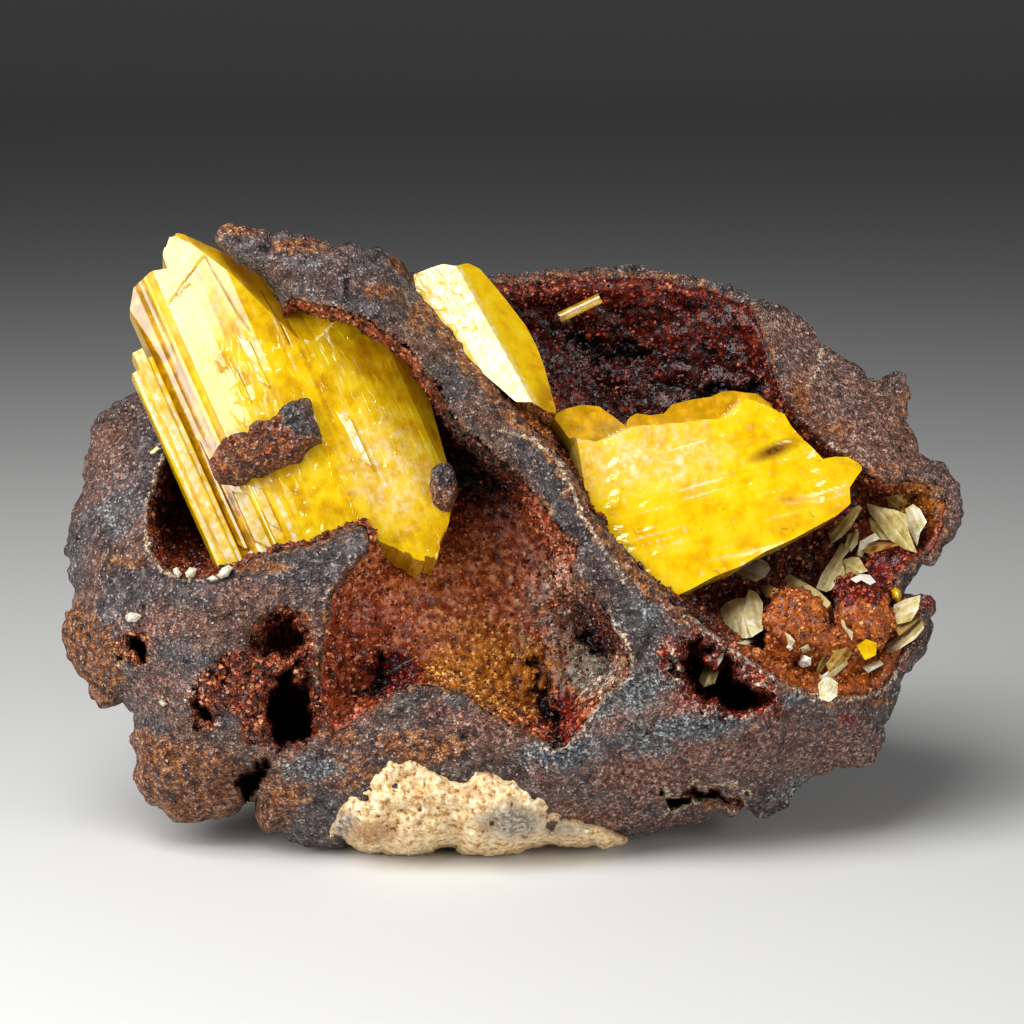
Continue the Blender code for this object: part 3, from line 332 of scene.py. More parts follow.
# %% Lumps and facets
def cells_of(across, down, spacing, seed):
    """Nearest scattered centre of each pixel: distance in cells, offset from it, and its cell."""
    points = np.stack([across, down], axis=-1) / spacing
    base = np.floor(points)
    nearest = np.full(across.shape, np.inf)
    offset, owner = np.zeros(points.shape), np.zeros(points.shape)
    for step in np.ndindex(3, 3):
        cell = base + np.array(step) - 1
        centre = cell + 0.5 + 0.4 * np.stack([scrambled(cell, seed), scrambled(cell, seed + 7)], -1)
        span = np.hypot(*np.moveaxis(points - centre, -1, 0))
        closer = span < nearest
        nearest = np.where(closer, span, nearest)
        offset[closer] = (points - centre)[closer]
        owner[closer] = cell[closer]
    return nearest, offset, owner


def lumps(across, down, spacing, seed):
    """Close-set round lumps: a dome round each scattered centre, 0 between them, 1 on top."""
    return np.sqrt(held(1 - (cells_of(across, down, spacing, seed)[0] / 0.75) ** 2))


def facets(across, down, spacing, seed):
    """Broken facets: inside each cell a flat patch with its own tilt, from about -1 to 1."""
    _, offset, owner = cells_of(across, down, spacing, seed)
    return scrambled(owner, seed + 1) * offset[..., 0] + scrambled(owner, seed + 2) * offset[..., 1]


print("lumps along a line:", lumps(np.arange(0, 24.0, 6), np.zeros(4), 11.0, 1).round(2))


# %% Rims and ragged outlines
def edge_rise(distance, run):
    """Quarter circle from 0 at the outline to 1 at a run inside it."""
    return np.sqrt(1 - (1 - held(distance / run)) ** 2)


def ragged(across, down, seed, amount=1.0):
    """Pixels shifted by noise of two sizes, so that a smooth outline turns ragged."""
    shifts = []
    for axis in (0, 1):
        wide = flat_noise(across, down, 11.0, seed + axis)
        fine = flat_noise(across, down, 4.5, seed + 2 + axis)
        shifts.append(amount * (2.6 * wide + 1.5 * fine))
    return across + shifts[0], down + shifts[1]


print("height halfway up a rim:", edge_rise(0.5, 1.0).round(2))

# %% [markdown]
# ## From arrays to a mesh
# A sheet is a square grid of pixels kept inside an outline, with its border drawn onto the
# outline. Two sheets at a front and a back depth, joined along their border, make a closed piece.


# %% A sheet on a grid of pixels
def grid_sheet(outline, step):
    """Grid points inside a ring, its square cells, and the border points moved onto the ring."""
    low, high = outline.min(axis=0) - step, outline.max(axis=0) + step
    across, down = np.meshgrid(np.arange(low[0], high[0], step), np.arange(low[1], high[1], step))
    kept = inside_distance(outline, across, down) > 0.15 * step
    index = np.arange(across.size).reshape(across.shape)
    whole = kept[:-1, :-1] & kept[1:, :-1] & kept[:-1, 1:] & kept[1:, 1:]
    corners = [index[:-1, :-1], index[1:, :-1], index[1:, 1:], index[:-1, 1:]]
    quads = np.stack([corner[whole] for corner in corners], axis=1)
    used, quads = np.unique(quads, return_inverse=True)
    quads = quads.reshape(-1, 4)
    x, y = across.ravel()[used], down.ravel()[used]
    rim = np.unique(border_edges(quads))
    feet = feet_on(outline, x[rim], y[rim])
    x[rim], y[rim] = feet[:, 0], feet[:, 1]
    return x, y, quads, rim


def feet_on(outline, x, y):
    """Nearest point of a ring to each point."""
    best, feet = np.full(x.shape, np.inf), np.zeros((len(x), 2))
    for (ax, ay), (bx, by) in zip(outline, np.roll(outline, -1, axis=0)):
        ex, ey = bx - ax, by - ay
        share = held(((x - ax) * ex + (y - ay) * ey) / (ex * ex + ey * ey))
        fx, fy = ax + share * ex, ay + share * ey
        span = (x - fx) ** 2 + (y - fy) ** 2
        closer = span < best
        best[closer] = span[closer]
        feet[closer, 0], feet[closer, 1] = fx[closer], fy[closer]
    return feet


def border_edges(quads):
    """Directed sides that no neighbouring cell shares."""
    starts = quads.ravel()
    ends = np.roll(quads, -1, axis=1).ravel()
    span = quads.max() + 1
    lone = ~np.isin(starts * span + ends, ends * span + starts)
    return np.stack([starts[lone], ends[lone]], axis=1)


print("sheet over the slit:", len(grid_sheet(np.array(SLIT, float), 3.0)[2]), "cells")


# %% A mesh from arrays
def new_piece(name, points, faces, finish, slot, replaces=(), smooth=True, **values):
    """Mesh object from arrays, with named values at its points, riding on the one body."""
    mesh = bpy.data.meshes.new(name)
    faces = np.asarray(faces)
    mesh.vertices.add(len(points))
    mesh.vertices.foreach_set("co", np.asarray(points, np.float32).ravel())
    mesh.loops.add(faces.size)
    mesh.loops.foreach_set("vertex_index", faces.astype(np.int32).ravel())
    mesh.polygons.add(len(faces))
    mesh.polygons.foreach_set("loop_start", np.arange(len(faces), dtype=np.int32) * faces.shape[1])
    mesh.update(calc_edges=True)
    for label, numbers in values.items():
        layer = mesh.attributes.new(label, "FLOAT", "POINT")
        layer.data.foreach_set("value", np.asarray(numbers, np.float32))
    mesh.polygons.foreach_set("use_smooth", np.full(len(faces), smooth))
    mesh.materials.append(finish)
    mesh.validate()
    piece = bpy.data.objects.new(name, mesh)
    bpy.context.scene.collection.objects.link(piece)
    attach(piece, "root")
    if replaces:
        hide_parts(*replaces)
    triangles = len(faces) * (faces.shape[1] - 2)
    print(f"{name}: {triangles} triangles")
    return piece


# %% Closed skins and their normals
def between_sheets(front, back, quads, rim, welded):
    """Closed skin of two sheets. Welded sheets share their border, others get a wall there."""
    count = len(front)
    points = np.concatenate([front, back])
    if welded:
        partner = np.arange(count) + count
        partner[rim] = rim
        return points, np.concatenate([quads, partner[quads][:, ::-1]])
    sides = border_edges(quads)
    wall = np.column_stack([sides[:, 1], sides[:, 0], sides[:, 0] + count, sides[:, 1] + count])
    return points, np.concatenate([quads, (quads + count)[:, ::-1], wall])


def normals_of(points, quads):
    """Point normals: the sum of the cross products of the diagonals of the cells round it."""
    corner = points[quads]
    facing = np.cross(corner[:, 2] - corner[:, 0], corner[:, 3] - corner[:, 1])
    total = np.zeros_like(points)
    for side in range(4):
        np.add.at(total, quads[:, side], facing)
    return total / (np.linalg.norm(total, axis=1, keepdims=True) + 1e-12)


print("sides of one lone cell:", len(border_edges(np.array([[0, 1, 2, 3]]))))

# %% [markdown]
# ## Materials
# A colour is written as the sRGB hex value that a paint program shows, and one function turns it
# to the linear light that the renderer works in. One function adds a node with its settings and
# links, and another lays a grainy tint over a colour wherever a value of the mesh says so. Painted
# zones give each patch of the real surface its own colour without a picture of it.


# %% Colours and a new material
def linear(hex_colour):
    """((value + 0.055) / 1.055) to the power 2.4, or value / 12.92 for the darkest values."""
    parts = np.array([int(hex_colour[at:at + 2], 16) for at in (1, 3, 5)]) / 255
    parts = np.where(parts < 0.04045, parts / 12.92, ((parts + 0.055) / 1.055) ** 2.4)
    return (*parts, 1.0)


def new_material(name):
    """Material with only its shader and output."""
    material = bpy.data.materials.new(name)
    material.use_nodes = True
    return material, material.node_tree.nodes["Principled BSDF"]


print("middle grey in linear light:", round(float(linear("#808080")[0]), 3))


# %% One function that adds a node
def socket_of(node, label):
    """Usable input by name. A number after the name picks among inputs that share it."""
    name, _, number = label.rpartition(" ")
    if not number.isdigit():
        name, number = label, "1"
    found = [socket for socket in node.inputs if socket.enabled and socket.name == name]
    return found[int(number) - 1]


def set_up(material, node, settings=None, **links):
    """Settings name a node's properties or inputs, and stops are a colour ramp's places and
    colours. Links name inputs and what feeds them: an output, or a node, which then gives its
    first usable output."""
    for label, value in (settings or {}).items():
        if label == "stops":
            while len(node.color_ramp.elements) < len(value):
                node.color_ramp.elements.new(0.5)
            for element, (spot, colour) in zip(node.color_ramp.elements, value):
                element.position, element.color = spot, linear(colour)
        elif hasattr(node, label):
            setattr(node, label, value)
        else:
            socket_of(node, label).default_value = value
    for label, source in links.items():
        if not hasattr(source, "is_output"):
            source = next(socket for socket in source.outputs if socket.enabled)
        material.node_tree.links.new(source, socket_of(node, label.replace("_", " ")))
    return node


def add(material, kind, settings=None, **links):
    """New node of a kind, set up."""
    return set_up(material, material.node_tree.nodes.new(kind), settings, **links)


print(add.__name__, "is ready")


# %% A tint over a zone
def overlaid(material, where, under, label, size_mm, breakup, width, stops, carrier=None):
    """The colour under, covered by a tint where the piece's value, shifted by noise, passes one
    half. The noise keeps the border ragged, and its grain shades the tint unless a carrier does."""
    grain = add(material, "ShaderNodeTexNoise",
                {"Scale": 1 / (size_mm * MM), "Detail": 2.0, "Roughness": 0.62}, Vector=where)
    tint = add(material, "ShaderNodeValToRGB", {"stops": stops}, Fac=carrier or grain)
    value = add(material, "ShaderNodeAttribute", {"attribute_name": label})
    shift = add(material, "ShaderNodeMath", {"operation": "MULTIPLY_ADD", "Value 2": 2 * breakup,
                                             "Value 3": -breakup}, Value=grain)
    total = add(material, "ShaderNodeMath", {"operation": "ADD"}, Value=value.outputs["Fac"],
                Value_2=shift)
    share = add(material, "ShaderNodeMapRange",
                {"From Min": 0.5 - width, "From Max": 0.5 + width}, Value=total)
    return add(material, "ShaderNodeMix", {"data_type": "RGBA"}, Factor=share, A=under, B=tint)


print(overlaid.__name__, "is ready")

# %% [markdown]
# ## Goethite gossan
# Goethite is an iron oxide. Broken open it is dark violet-grey with tiny glints, where it
# weathers it turns rusty orange, and inside its hollows it is red-brown. One material lays these
# tints over each other by zones that the mesh carries as values at its points. The surface was
# made by breaking, so it is granular and mostly dull, with single grains that flash.


# %% Tints of the gossan's zones
GOSSAN_TINTS = [  # value's name, grain in millimetres, breakup, width of the border, stops
    ("pink", 0.5, 0.9, 0.35, [(0.36, "#34150C"), (0.46, "#6E3E30"), (0.56, "#925F4C"),
     (0.68, "#C49A84")]),
    ("rusty", 0.7, 0.8, 0.2, [(0.35, "#2C1206"), (0.46, "#6A3616"), (0.56, "#965628"),
     (0.68, "#C48A54")]),
    ("porous", 0.4, 0.9, 0.3, [(0.36, "#15151A"), (0.46, "#3F4348"), (0.56, "#666C70"),
     (0.68, "#B9BCB8")]),
    ("druse", 0.6, 0.6, 0.2, [(0.35, "#120302"), (0.47, "#481606"), (0.57, "#8A3C14"),
     (0.68, "#C87A40")]),
    ("crimson", 0.4, 0.8, 0.25, [(0.36, "#2E0705"), (0.46, "#6E1C14"), (0.56, "#9C3B2C"),
     (0.68, "#E0B0A0")]),
    # The pale tint is partly a painted highlight on lit lips, partly pale lines along edges.
    ("pale", 0.4, 0.7, 0.2, [(0.38, "#7C6046"), (0.5, "#C9A47C"), (0.62, "#F0E2CC")]),
    # The last tint is near-black painted shade in small hollows, crevices and pores.
    ("deep", 0.9, 0.3, 0.3, [(0.4, "#050201"), (0.6, "#120705")])]
print(len(GOSSAN_TINTS), "tints")


# %% Gossan material
def make_gossan():
    """Dark violet-grey and brown grains with glints, under the tints of its zones.
    Real grains are near 0.1 mm. The pattern of 0.24 mm is coarser, so that it shows."""
    material, shader = new_material("goethite gossan, broken and granular")
    where = add(material, "ShaderNodeTexCoord").outputs["Object"]
    coarse = add(material, "ShaderNodeTexNoise",
                 {"Scale": 1 / (1.4 * MM), "Detail": 6.0, "Roughness": 0.7}, Vector=where)
    grey = add(material, "ShaderNodeValToRGB", {"stops": [
        (0.34, "#1C1617"), (0.45, "#3F3738"), (0.56, "#5D5453"), (0.7, "#94898A")]}, Fac=coarse)
    brown = add(material, "ShaderNodeValToRGB", {"stops": [
        (0.34, "#260F08"), (0.45, "#543428"), (0.56, "#7A5342"), (0.7, "#B08C76")]}, Fac=coarse)
    wide = add(material, "ShaderNodeTexNoise", {"Scale": 1 / (7 * MM), "Detail": 2.0}, Vector=where)
    share = add(material, "ShaderNodeMapRange", {"From Min": 0.44, "From Max": 0.6}, Value=wide)
    colour = add(material, "ShaderNodeMix", {"data_type": "RGBA"}, Factor=share, A=grey, B=brown)
    for tint in GOSSAN_TINTS:
        colour = overlaid(material, where, colour, *tint)
    grains = add(material, "ShaderNodeTexVoronoi", {"Scale": 1 / (0.24 * MM)}, Vector=where)
    random = add(material, "ShaderNodeSeparateColor", Color=grains.outputs["Color"])
    glint = add(material, "ShaderNodeMapRange",
                {"From Min": 0.87, "From Max": 0.98, "To Max": 0.6}, Value=random.outputs[0])
    shade = add(material, "ShaderNodeMapRange",
                {"From Max": 0.38, "To Min": 0.65, "To Max": 0.0}, Value=random.outputs[1])
    colour = add(material, "ShaderNodeMix", {"data_type": "RGBA", "B": linear("#D3C2B8")},
                 Factor=glint, A=colour)
    colour = add(material, "ShaderNodeMix", {"data_type": "RGBA", "B": linear("#150B0A")},
                 Factor=shade, A=colour)
    # Each grain has its own roughness, which gives the eye dull earth with a few bright faces.
    rough = add(material, "ShaderNodeMapRange", {"To Min": 0.3, "To Max": 0.85},
                Value=random.outputs[2])
    fine = add(material, "ShaderNodeTexNoise", {"Scale": 1 / (0.35 * MM), "Detail": 4.0},
               Vector=where)
    height = add(material, "ShaderNodeMath", {"operation": "ADD"}, Value=fine,
                 Value_2=grains.outputs["Distance"])
    bump = add(material, "ShaderNodeBump", {"Strength": 1.0, "Distance": 0.45 * MM}, Height=height)
    # Polished goethite has an index of 2.3. Its earthy, broken face reflects far less than that.
    set_up(material, shader, {"IOR": 1.45}, Base_Color=colour, Roughness=rough, Normal=bump)
    return material


GOSSAN = make_gossan()
print(GOSSAN.name)

# %% [markdown]
# ## The gossan's relief
# The rock broke along uneven faces, with soft rusty lumps, small pores and deep hollows. Its
# surface is a front and a back depth at every point of a grid, because depths can be added and
# blended freely. Cutting hollows out of a block would leave a tangled mesh.

# %% Skin, hollows and spots
ROCK_STEP = 3.0         # pixels between points
FRONT_ROUNDING = 55.0   # run over which the front turns into the rim
BACK_ROUNDING = 170.0


def skin_depth(x, y):
    """Plate through the skin's knots, plus two sizes of waves."""
    waves = sum(height * flat_noise(x, y, spacing, seed) for height, spacing, seed in SKIN_WAVES)
    return thin_plate(SKIN_DEPTHS, x, y) + waves


def floor_of(floor, x, y):
    """Depth of a hollow's floor: a plate through its knots, or one depth."""
    return thin_plate(floor, x, y) if isinstance(floor, list) else np.full(x.shape, float(floor))


def hollow_inside(name, x, y):
    """Pixels inside a hollow's ragged lip. The small hollows are the more ragged ones."""
    amount = 1.0 if name in ("front", "back") else 2.6
    return inside_distance(rounded(HOLLOWS[name][0]), *ragged(x, y, 40, amount))


def wall_share(distance, run):
    """1 - (1 - distance / run) to the power 2.2: steep at the lip, flat at the floor."""
    return 1 - (1 - held(distance / run)) ** 2.2


def spots_of(spots, x, y):
    """Soft ovals (across, down, half width, half height, strength): the strongest at each point."""
    best = np.zeros(x.shape)
    for cx, cy, wide, high, strength in spots:
        reach = np.hypot((x - cx) / wide, (y - cy) / high)
        best = np.maximum(best, strength * held(1.5 - reach))
    return best


def line_distance(points, x, y):
    """Distance to an open line of points."""
    best = np.full(x.shape, 1e9)
    for (ax, ay), (bx, by) in zip(points, points[1:]):
        ex, ey = bx - ax, by - ay
        share = held(((x - ax) * ex + (y - ay) * ey) / (ex * ex + ey * ey))
        best = np.minimum(best, np.hypot(x - ax - share * ex, y - ay - share * ey))
    return best


print("the front hollow's wall at half its run:", wall_share(0.5, 1.0).round(2))

# %% Zones on the rock's skin, in pixels
# Rings are outlines. Spots are across, down, half width, half height, strength.
LIMONITE = [  # rusty lumps on the broken skin
    [(58, 600), (86, 606), (112, 640), (120, 690), (112, 716), (55, 700)],
    [(128, 722), (160, 738), (205, 752), (240, 762), (262, 780), (225, 828), (170, 832),
     (120, 790)],
    [(262, 772), (285, 762), (312, 770), (300, 800), (280, 826), (250, 838)]]
CAVITY = [
    (186, 704), (198, 672), (214, 664), (232, 652), (252, 628), (285, 604), (306, 614), (320, 645),
    (316, 672), (326, 700), (318, 738), (285, 752), (244, 745), (240, 716), (222, 708), (214, 734),
    (192, 724)]
RIGHT_WALL = [
    (752, 306), (810, 320), (835, 352), (880, 388), (905, 430), (935, 470), (880, 482), (850, 452),
    (815, 440), (786, 405), (768, 345)]
CRIMSON_SPOTS = [
    (700, 650, 34, 18, 1.0), (745, 672, 26, 16, 0.9), (770, 700, 14, 16, 0.8),
    (700, 700, 26, 12, 0.8), (848, 720, 10, 8, 0.9), (668, 664, 10, 12, 0.8),
    (900, 660, 10, 12, 0.7), (930, 600, 9, 10, 0.9)]
PINK_SPOTS = [
    (720, 752, 80, 44, 0.62), (826, 752, 60, 34, 0.6), (438, 712, 14, 9, 1.2),
    (480, 724, 52, 18, 0.75), (650, 778, 62, 26, 1.0), (720, 752, 60, 18, 0.8),
    (612, 722, 22, 12, 0.8), (790, 745, 50, 22, 0.6), (840, 745, 30, 16, 0.7),
    (165, 622, 42, 18, 0.65), (250, 590, 50, 10, 0.5), (945, 500, 18, 40, 0.6),
    (160, 690, 40, 26, 0.6), (110, 470, 22, 40, 0.5), (880, 750, 20, 14, 0.6),
    (600, 815, 50, 12, 0.8)]
POROUS_SPOTS = [
    (585, 700, 30, 26, 0.9), (640, 690, 26, 20, 0.8), (690, 728, 44, 12, 1.0),
    (735, 716, 30, 10, 1.0), (790, 700, 26, 8, 0.8), (560, 752, 34, 16, 1.0),
    (612, 640, 14, 30, 0.7), (665, 668, 14, 22, 0.8), (650, 740, 30, 16, 0.7),
    (250, 655, 40, 10, 0.5), (310, 770, 34, 14, 0.8), (800, 790, 16, 16, 0.8),
    (650, 612, 16, 10, 0.8), (120, 510, 20, 30, 0.6), (300, 262, 40, 8, 0.5)]
RUSTY_SPOTS = [
    (420, 748, 50, 16, 0.9), (345, 775, 34, 16, 0.8), (296, 246, 26, 8, 0.9),
    (236, 228, 22, 9, 0.8), (404, 262, 16, 11, 1.0), (382, 292, 22, 8, 0.8),
    (420, 318, 12, 16, 0.9), (470, 400, 14, 24, 0.3), (345, 738, 16, 10, 0.7),
    (880, 470, 24, 8, 0.7), (800, 396, 14, 26, 0.8), (836, 428, 24, 10, 0.7),
    (905, 420, 12, 40, 0.5), (262, 566, 30, 8, 0.7), (845, 700, 60, 8, 0.6),
    (130, 560, 26, 10, 0.5), (700, 800, 40, 10, 0.6)]
# Painted shade: near-black spots in narrow crevices and slits.
PAINTED_SHADE_SPOTS = [
    (263, 249, 7, 3.5, 1.2), (346, 284, 2.2, 20, 1.2), (286, 622, 5, 4, 0.7), (604, 605, 6, 9, 0.6),
    (632, 612, 9, 3, 0.7)]
PALE_LINES = [
    [(500, 430), (531, 438), (553, 456), (576, 491), (582, 515), (605, 550), (626, 581)],
    [(821, 350), (818, 366), (809, 386)],
    [(825, 441), (838, 447)],
    [(663, 640), (684, 668), (672, 682)],
    [(560, 742), (600, 700), (612, 690)]]
print(len(PINK_SPOTS) + len(POROUS_SPOTS) + len(RUSTY_SPOTS), "spots on the skin")

# %% Depths and zones of the rock
# Small hollows are painted black inside as shade: the larger the number, the further in that
# starts.
CORES = {"dark": 0.4, "side": 0.5, "left": 0.5, "red": 0.5, "slit": 0.5, "crease": 0.5}


def rock_relief(x, y):
    """Front and back depth of the gossan in millimetres, and its colour zones, with painted shade
    and highlight.
    """
    skin = skin_depth(x, y)
    skin += 0.35 * facets(x, y, 36.0, 50) + 0.18 * facets(x, y, 13.0, 51)
    limonite = np.max([inside_distance(ring, *ragged(x, y, 42)) for ring in LIMONITE], axis=0)
    lumpy = smooth_step(limonite / 12 + 0.5)
    skin += lumpy * (0.9 * lumps(x, y, 22.0, 52) + 0.4 * lumps(x, y, 9.0, 53) - 0.55)
    porous = spots_of(POROUS_SPOTS, x, y)
    pits = held(flat_noise(x, y, 6.0, 54) + 0.6 * flat_noise(x, y, 11.0, 55) - 0.7)
    skin -= (0.4 + 0.7 * porous) * pits
    cavity = smooth_step(inside_distance(CAVITY, *ragged(x, y, 45, 2.2)) / 10 + 0.5)
    skin -= cavity * (1.8 - 1.2 * lumps(x, y, 14.0, 60) - 0.6 * lumps(x, y, 8.0, 62)
                      + 0.7 * flat_noise(x, y, 22.0, 63))
    front = skin + 0.07 * flat_noise(x, y, 4.0, 56)
    # Painted shade: black spots, and the black cores of the small hollows.
    lip, deep = np.full(x.shape, -90.0), spots_of(PAINTED_SHADE_SPOTS, x, y)
    for name, (_, floor, run) in HOLLOWS.items():
        distance = hollow_inside(name, x, y)
        if name in CORES:
            distance = distance + 6 * flat_noise(x, y, 13.0, 64)
        target = np.minimum(floor_of(floor, x, y) + 0.5 * lumps(x, y, 15.0, 57) - 0.3, skin)
        front = front + (target - front) * wall_share(distance, run)
        lip = np.maximum(lip, distance)
        if name in CORES:
            deep = np.maximum(deep, held(distance / run * 1.4 - CORES[name]))
    edge = inside_distance(ROCK_RING, x, y, 200.0)
    rim = thin_plate(RIM_DEPTHS, x, y)
    rough = 0.25 * flat_noise(x, y, 9.0, 58) * smooth_step(edge / 10)
    front = rim + (front - rim) * edge_rise(edge, FRONT_ROUNDING) + rough
    waves = sum(height * flat_noise(x, y, spacing, seed) for height, spacing, seed in BACK_WAVES)
    back = thin_plate(BACK_DEPTHS, x, y) + waves + 0.3 * facets(x, y, 17.0, 59)
    back = np.minimum(rim + (back - rim) * edge_rise(edge, BACK_ROUNDING), front)
    band = held(1.1 - np.abs(hollow_inside("back", x, y) + 7) / 10) * (x < 740) * (y > 300)
    white = np.min([line_distance(line, *ragged(x, y, 47)) for line in PALE_LINES], axis=0)
    lip_line = held(0.95 - np.abs(lip + 1.5) / 4)
    # Painted highlight: the lips at the left and lower right are painted pale, as lit.
    lit_lips = np.maximum(smooth_step((260 - x) / 60), smooth_step((y - 590) / 40) * (x > 540))
    wall = smooth_step(inside_distance(RIGHT_WALL, *ragged(x, y, 43)) / 14 + 0.5)
    zones = {
        "pink": np.maximum(spots_of(PINK_SPOTS, x, y), 0.62 * wall),
        "rusty": np.maximum.reduce([held(0.55 + limonite / 25) * 0.95, 0.85 * lip_line,
                                    band, spots_of(RUSTY_SPOTS, x, y)]),
        "porous": porous, "druse": np.maximum(held(0.5 + (lip - 2) / 7), 0.8 * cavity),
        "crimson": spots_of(CRIMSON_SPOTS, x, y),
        "pale": np.maximum(0.75 * lip_line * lit_lips, held(1.15 - white / 2.6)),
        # Pores are painted black too, as shade in them.
        "deep": np.maximum(deep, held(pits * 1.6 - 0.2))}
    return front, back, zones


ring = dense(rounded(ROCK_OUTLINE, 1))
ROCK_RING = np.stack(ragged(ring[:, 0], ring[:, 1], 48, 1.3), axis=1)
print("ragged outline:", len(ROCK_RING), "points")


# %% Build the rock
def make_rock():
    """The gossan: front and back sheets welded at the rim, then roughened along its normals."""
    x, y, quads, rim = grid_sheet(ROCK_RING, ROCK_STEP)
    front, back, zones = rock_relief(x, y)
    points, faces = between_sheets(place(x, y, front), place(x, y, back), quads, rim, True)
    normals = normals_of(points, faces)
    grit = noise(points, 0.9 * MM, 70) * 0.12 + noise(points, 0.45 * MM, 71) * 0.09
    points = points + normals * (grit * MM)[:, None]
    points[:, 2] = np.maximum(points[:, 2], 0.0)
    hidden = {"rusty": 0.45 + 0.35 * flat_noise(x, y, 70.0, 72),
              "pink": 0.35 + 0.4 * flat_noise(x, y, 50.0, 73),
              "porous": 0.3 + 0.4 * flat_noise(x, y, 60.0, 74)}
    values = {label: np.concatenate([numbers, hidden.get(label, np.zeros(len(numbers)))])
              for label, numbers in zones.items()}
    return new_piece("gossan", points, faces, GOSSAN, "goethite", ["gossan_matrix"], **values)


make_rock()

# %% [markdown]
# ## Pale host rock
# The gossan formed in a cream limestone, and a slab of it is left underneath. It is grainy and
# porous, and the iron has stained its upper edge orange. It is a relief of its own, because it
# is another stone with its own outline, and it is flat shaded so that its grains stay sharp.


# %% Limestone material
HOST_STAINS = [
    (345, 764, 22, 16, 1.0), (330, 800, 16, 18, 0.8), (420, 752, 30, 8, 0.8),
    (500, 770, 30, 6, 0.9), (420, 800, 16, 10, 0.5), (590, 815, 40, 8, 0.8),
    (372, 832, 26, 14, 0.7), (470, 790, 12, 8, 0.6)]
HOST_GREYS = [(512, 822, 30, 16, 1.0), (345, 825, 12, 14, 1.0), (560, 828, 26, 10, 0.7)]


def make_limestone():
    """Cream grains with darker pores, an orange iron stain and grey patches.
    A broken, unpolished face is rough, which gives the eye a soft, chalky cream."""
    material, shader = new_material("limestone, granular and iron-stained")
    where = add(material, "ShaderNodeTexCoord").outputs["Object"]
    grain = add(material, "ShaderNodeTexNoise",
                {"Scale": 1 / (0.7 * MM), "Detail": 7.0, "Roughness": 0.68}, Vector=where)
    cream = add(material, "ShaderNodeValToRGB", {"stops": [
        (0.34, "#704418"), (0.41, "#CB9A5C"), (0.48, "#EFCC92"), (0.57, "#FBE6BC"),
        (0.66, "#FFF8E6")]}, Fac=grain)
    colour = overlaid(material, where, cream, "grey", 0.5, 0.8, 0.35, [
        (0.35, "#5A4A3A"), (0.5, "#A39480"), (0.65, "#D6CCBC")])
    colour = overlaid(material, where, colour, "rusty", 0.5, 0.9, 0.35, [
        (0.35, "#4E2A16"), (0.46, "#9A5A30"), (0.56, "#C08850"), (0.68, "#E6BE86")])
    bump = add(material, "ShaderNodeBump", {"Strength": 1.0, "Distance": 0.5 * MM}, Height=grain)
    # Calcite's index lies between 1.49 and 1.66.
    set_up(material, shader, {"Roughness": 0.8, "IOR": 1.6}, Base_Color=colour, Normal=bump)
    return material


LIMESTONE = make_limestone()
print(LIMESTONE.name)

# %% Build the host rock
HOST_RIM_DEPTH = 4.0    # millimetres toward the eye, all round the slab
HOST_THICKNESS = 24.0   # millimetres from the rim's depth to the slab's back


def make_host():
    """The slab: a relief like the rock's, on its own outline."""
    ring = dense(rounded(HOST_OUTLINE, 1))
    ring = np.stack(ragged(ring[:, 0], ring[:, 1], 80, 1.3), axis=1)
    x, y, quads, rim = grid_sheet(ring, 2.0)
    edge = inside_distance(ring, x, y, 200.0)
    depth = thin_plate(HOST_DEPTHS, x, y) + 0.8 * flat_noise(x, y, 30.0, 8)
    depth += 0.7 * flat_noise(x, y, 14.0, 81) + 0.6 * lumps(x, y, 9.0, 82)
    pits = held(flat_noise(x, y, 6.0, 83) + 0.5 * flat_noise(x, y, 12.0, 86) - 0.6)
    front = HOST_RIM_DEPTH + (depth - 1.3 * pits - HOST_RIM_DEPTH) * edge_rise(edge, 30.0)
    back = HOST_RIM_DEPTH - HOST_THICKNESS * edge_rise(edge, 60.0)
    back += 0.3 * flat_noise(x, y, 9.0, 84)
    back = np.minimum(back, front)
    points, faces = between_sheets(place(x, y, front), place(x, y, back), quads, rim, True)
    normals = normals_of(points, faces)
    points = points + normals * (noise(points, 0.5 * MM, 85) * 0.1 * MM)[:, None]
    points[:, 2] = np.maximum(points[:, 2], 0.0)
    top = np.array([(312, 808), (325, 785), (344, 764), (370, 742), (397, 736), (430, 748),
                    (460, 771), (474, 760), (508, 764), (542, 779), (591, 812), (632, 838)])
    stain = held(1.0 - line_distance(top, x, y) / 15)
    stain = np.maximum(stain, spots_of(HOST_STAINS, x, y))
    stain = np.maximum(stain, pits)
    new_piece("host_rock", points, faces, LIMESTONE, "limestone", ["pale_host_rock"], False,
              rusty=np.tile(stain, 2), grey=np.tile(spots_of(HOST_GREYS, x, y), 2))


make_host()

# %% [markdown]
# ## The druse
# A druse is a crust of tiny crystals. A lining sheet carries lumps a few millimetres across, and
# thousands of small eight-sided grains are scattered over it, joined in one mesh. Each grain has
# its own shade, so that the crust sparkles. Real faces give sharp glints, which a bump texture
# on a smooth sheet doesn't.


# %% Druse material
DRUSE_TINTS = [  # value's name and the colours of dark to light grains
    ("warm", [(0.0, "#1E0C02"), (0.35, "#643008"), (0.7, "#A65E14"), (1.0, "#E4AA58")]),
    ("nodule", [(0.0, "#340F04"), (0.35, "#7C3508"), (0.7, "#B25C18"), (1.0, "#DE9A5A")]),
    ("grey", [(0.0, "#14100C"), (0.35, "#453C30"), (0.7, "#7E7460"), (1.0, "#CFC6B4")]),
    ("crimson", [(0.0, "#0A0100"), (0.35, "#3A0400"), (0.7, "#7C1404"), (1.0, "#C4603E")])]


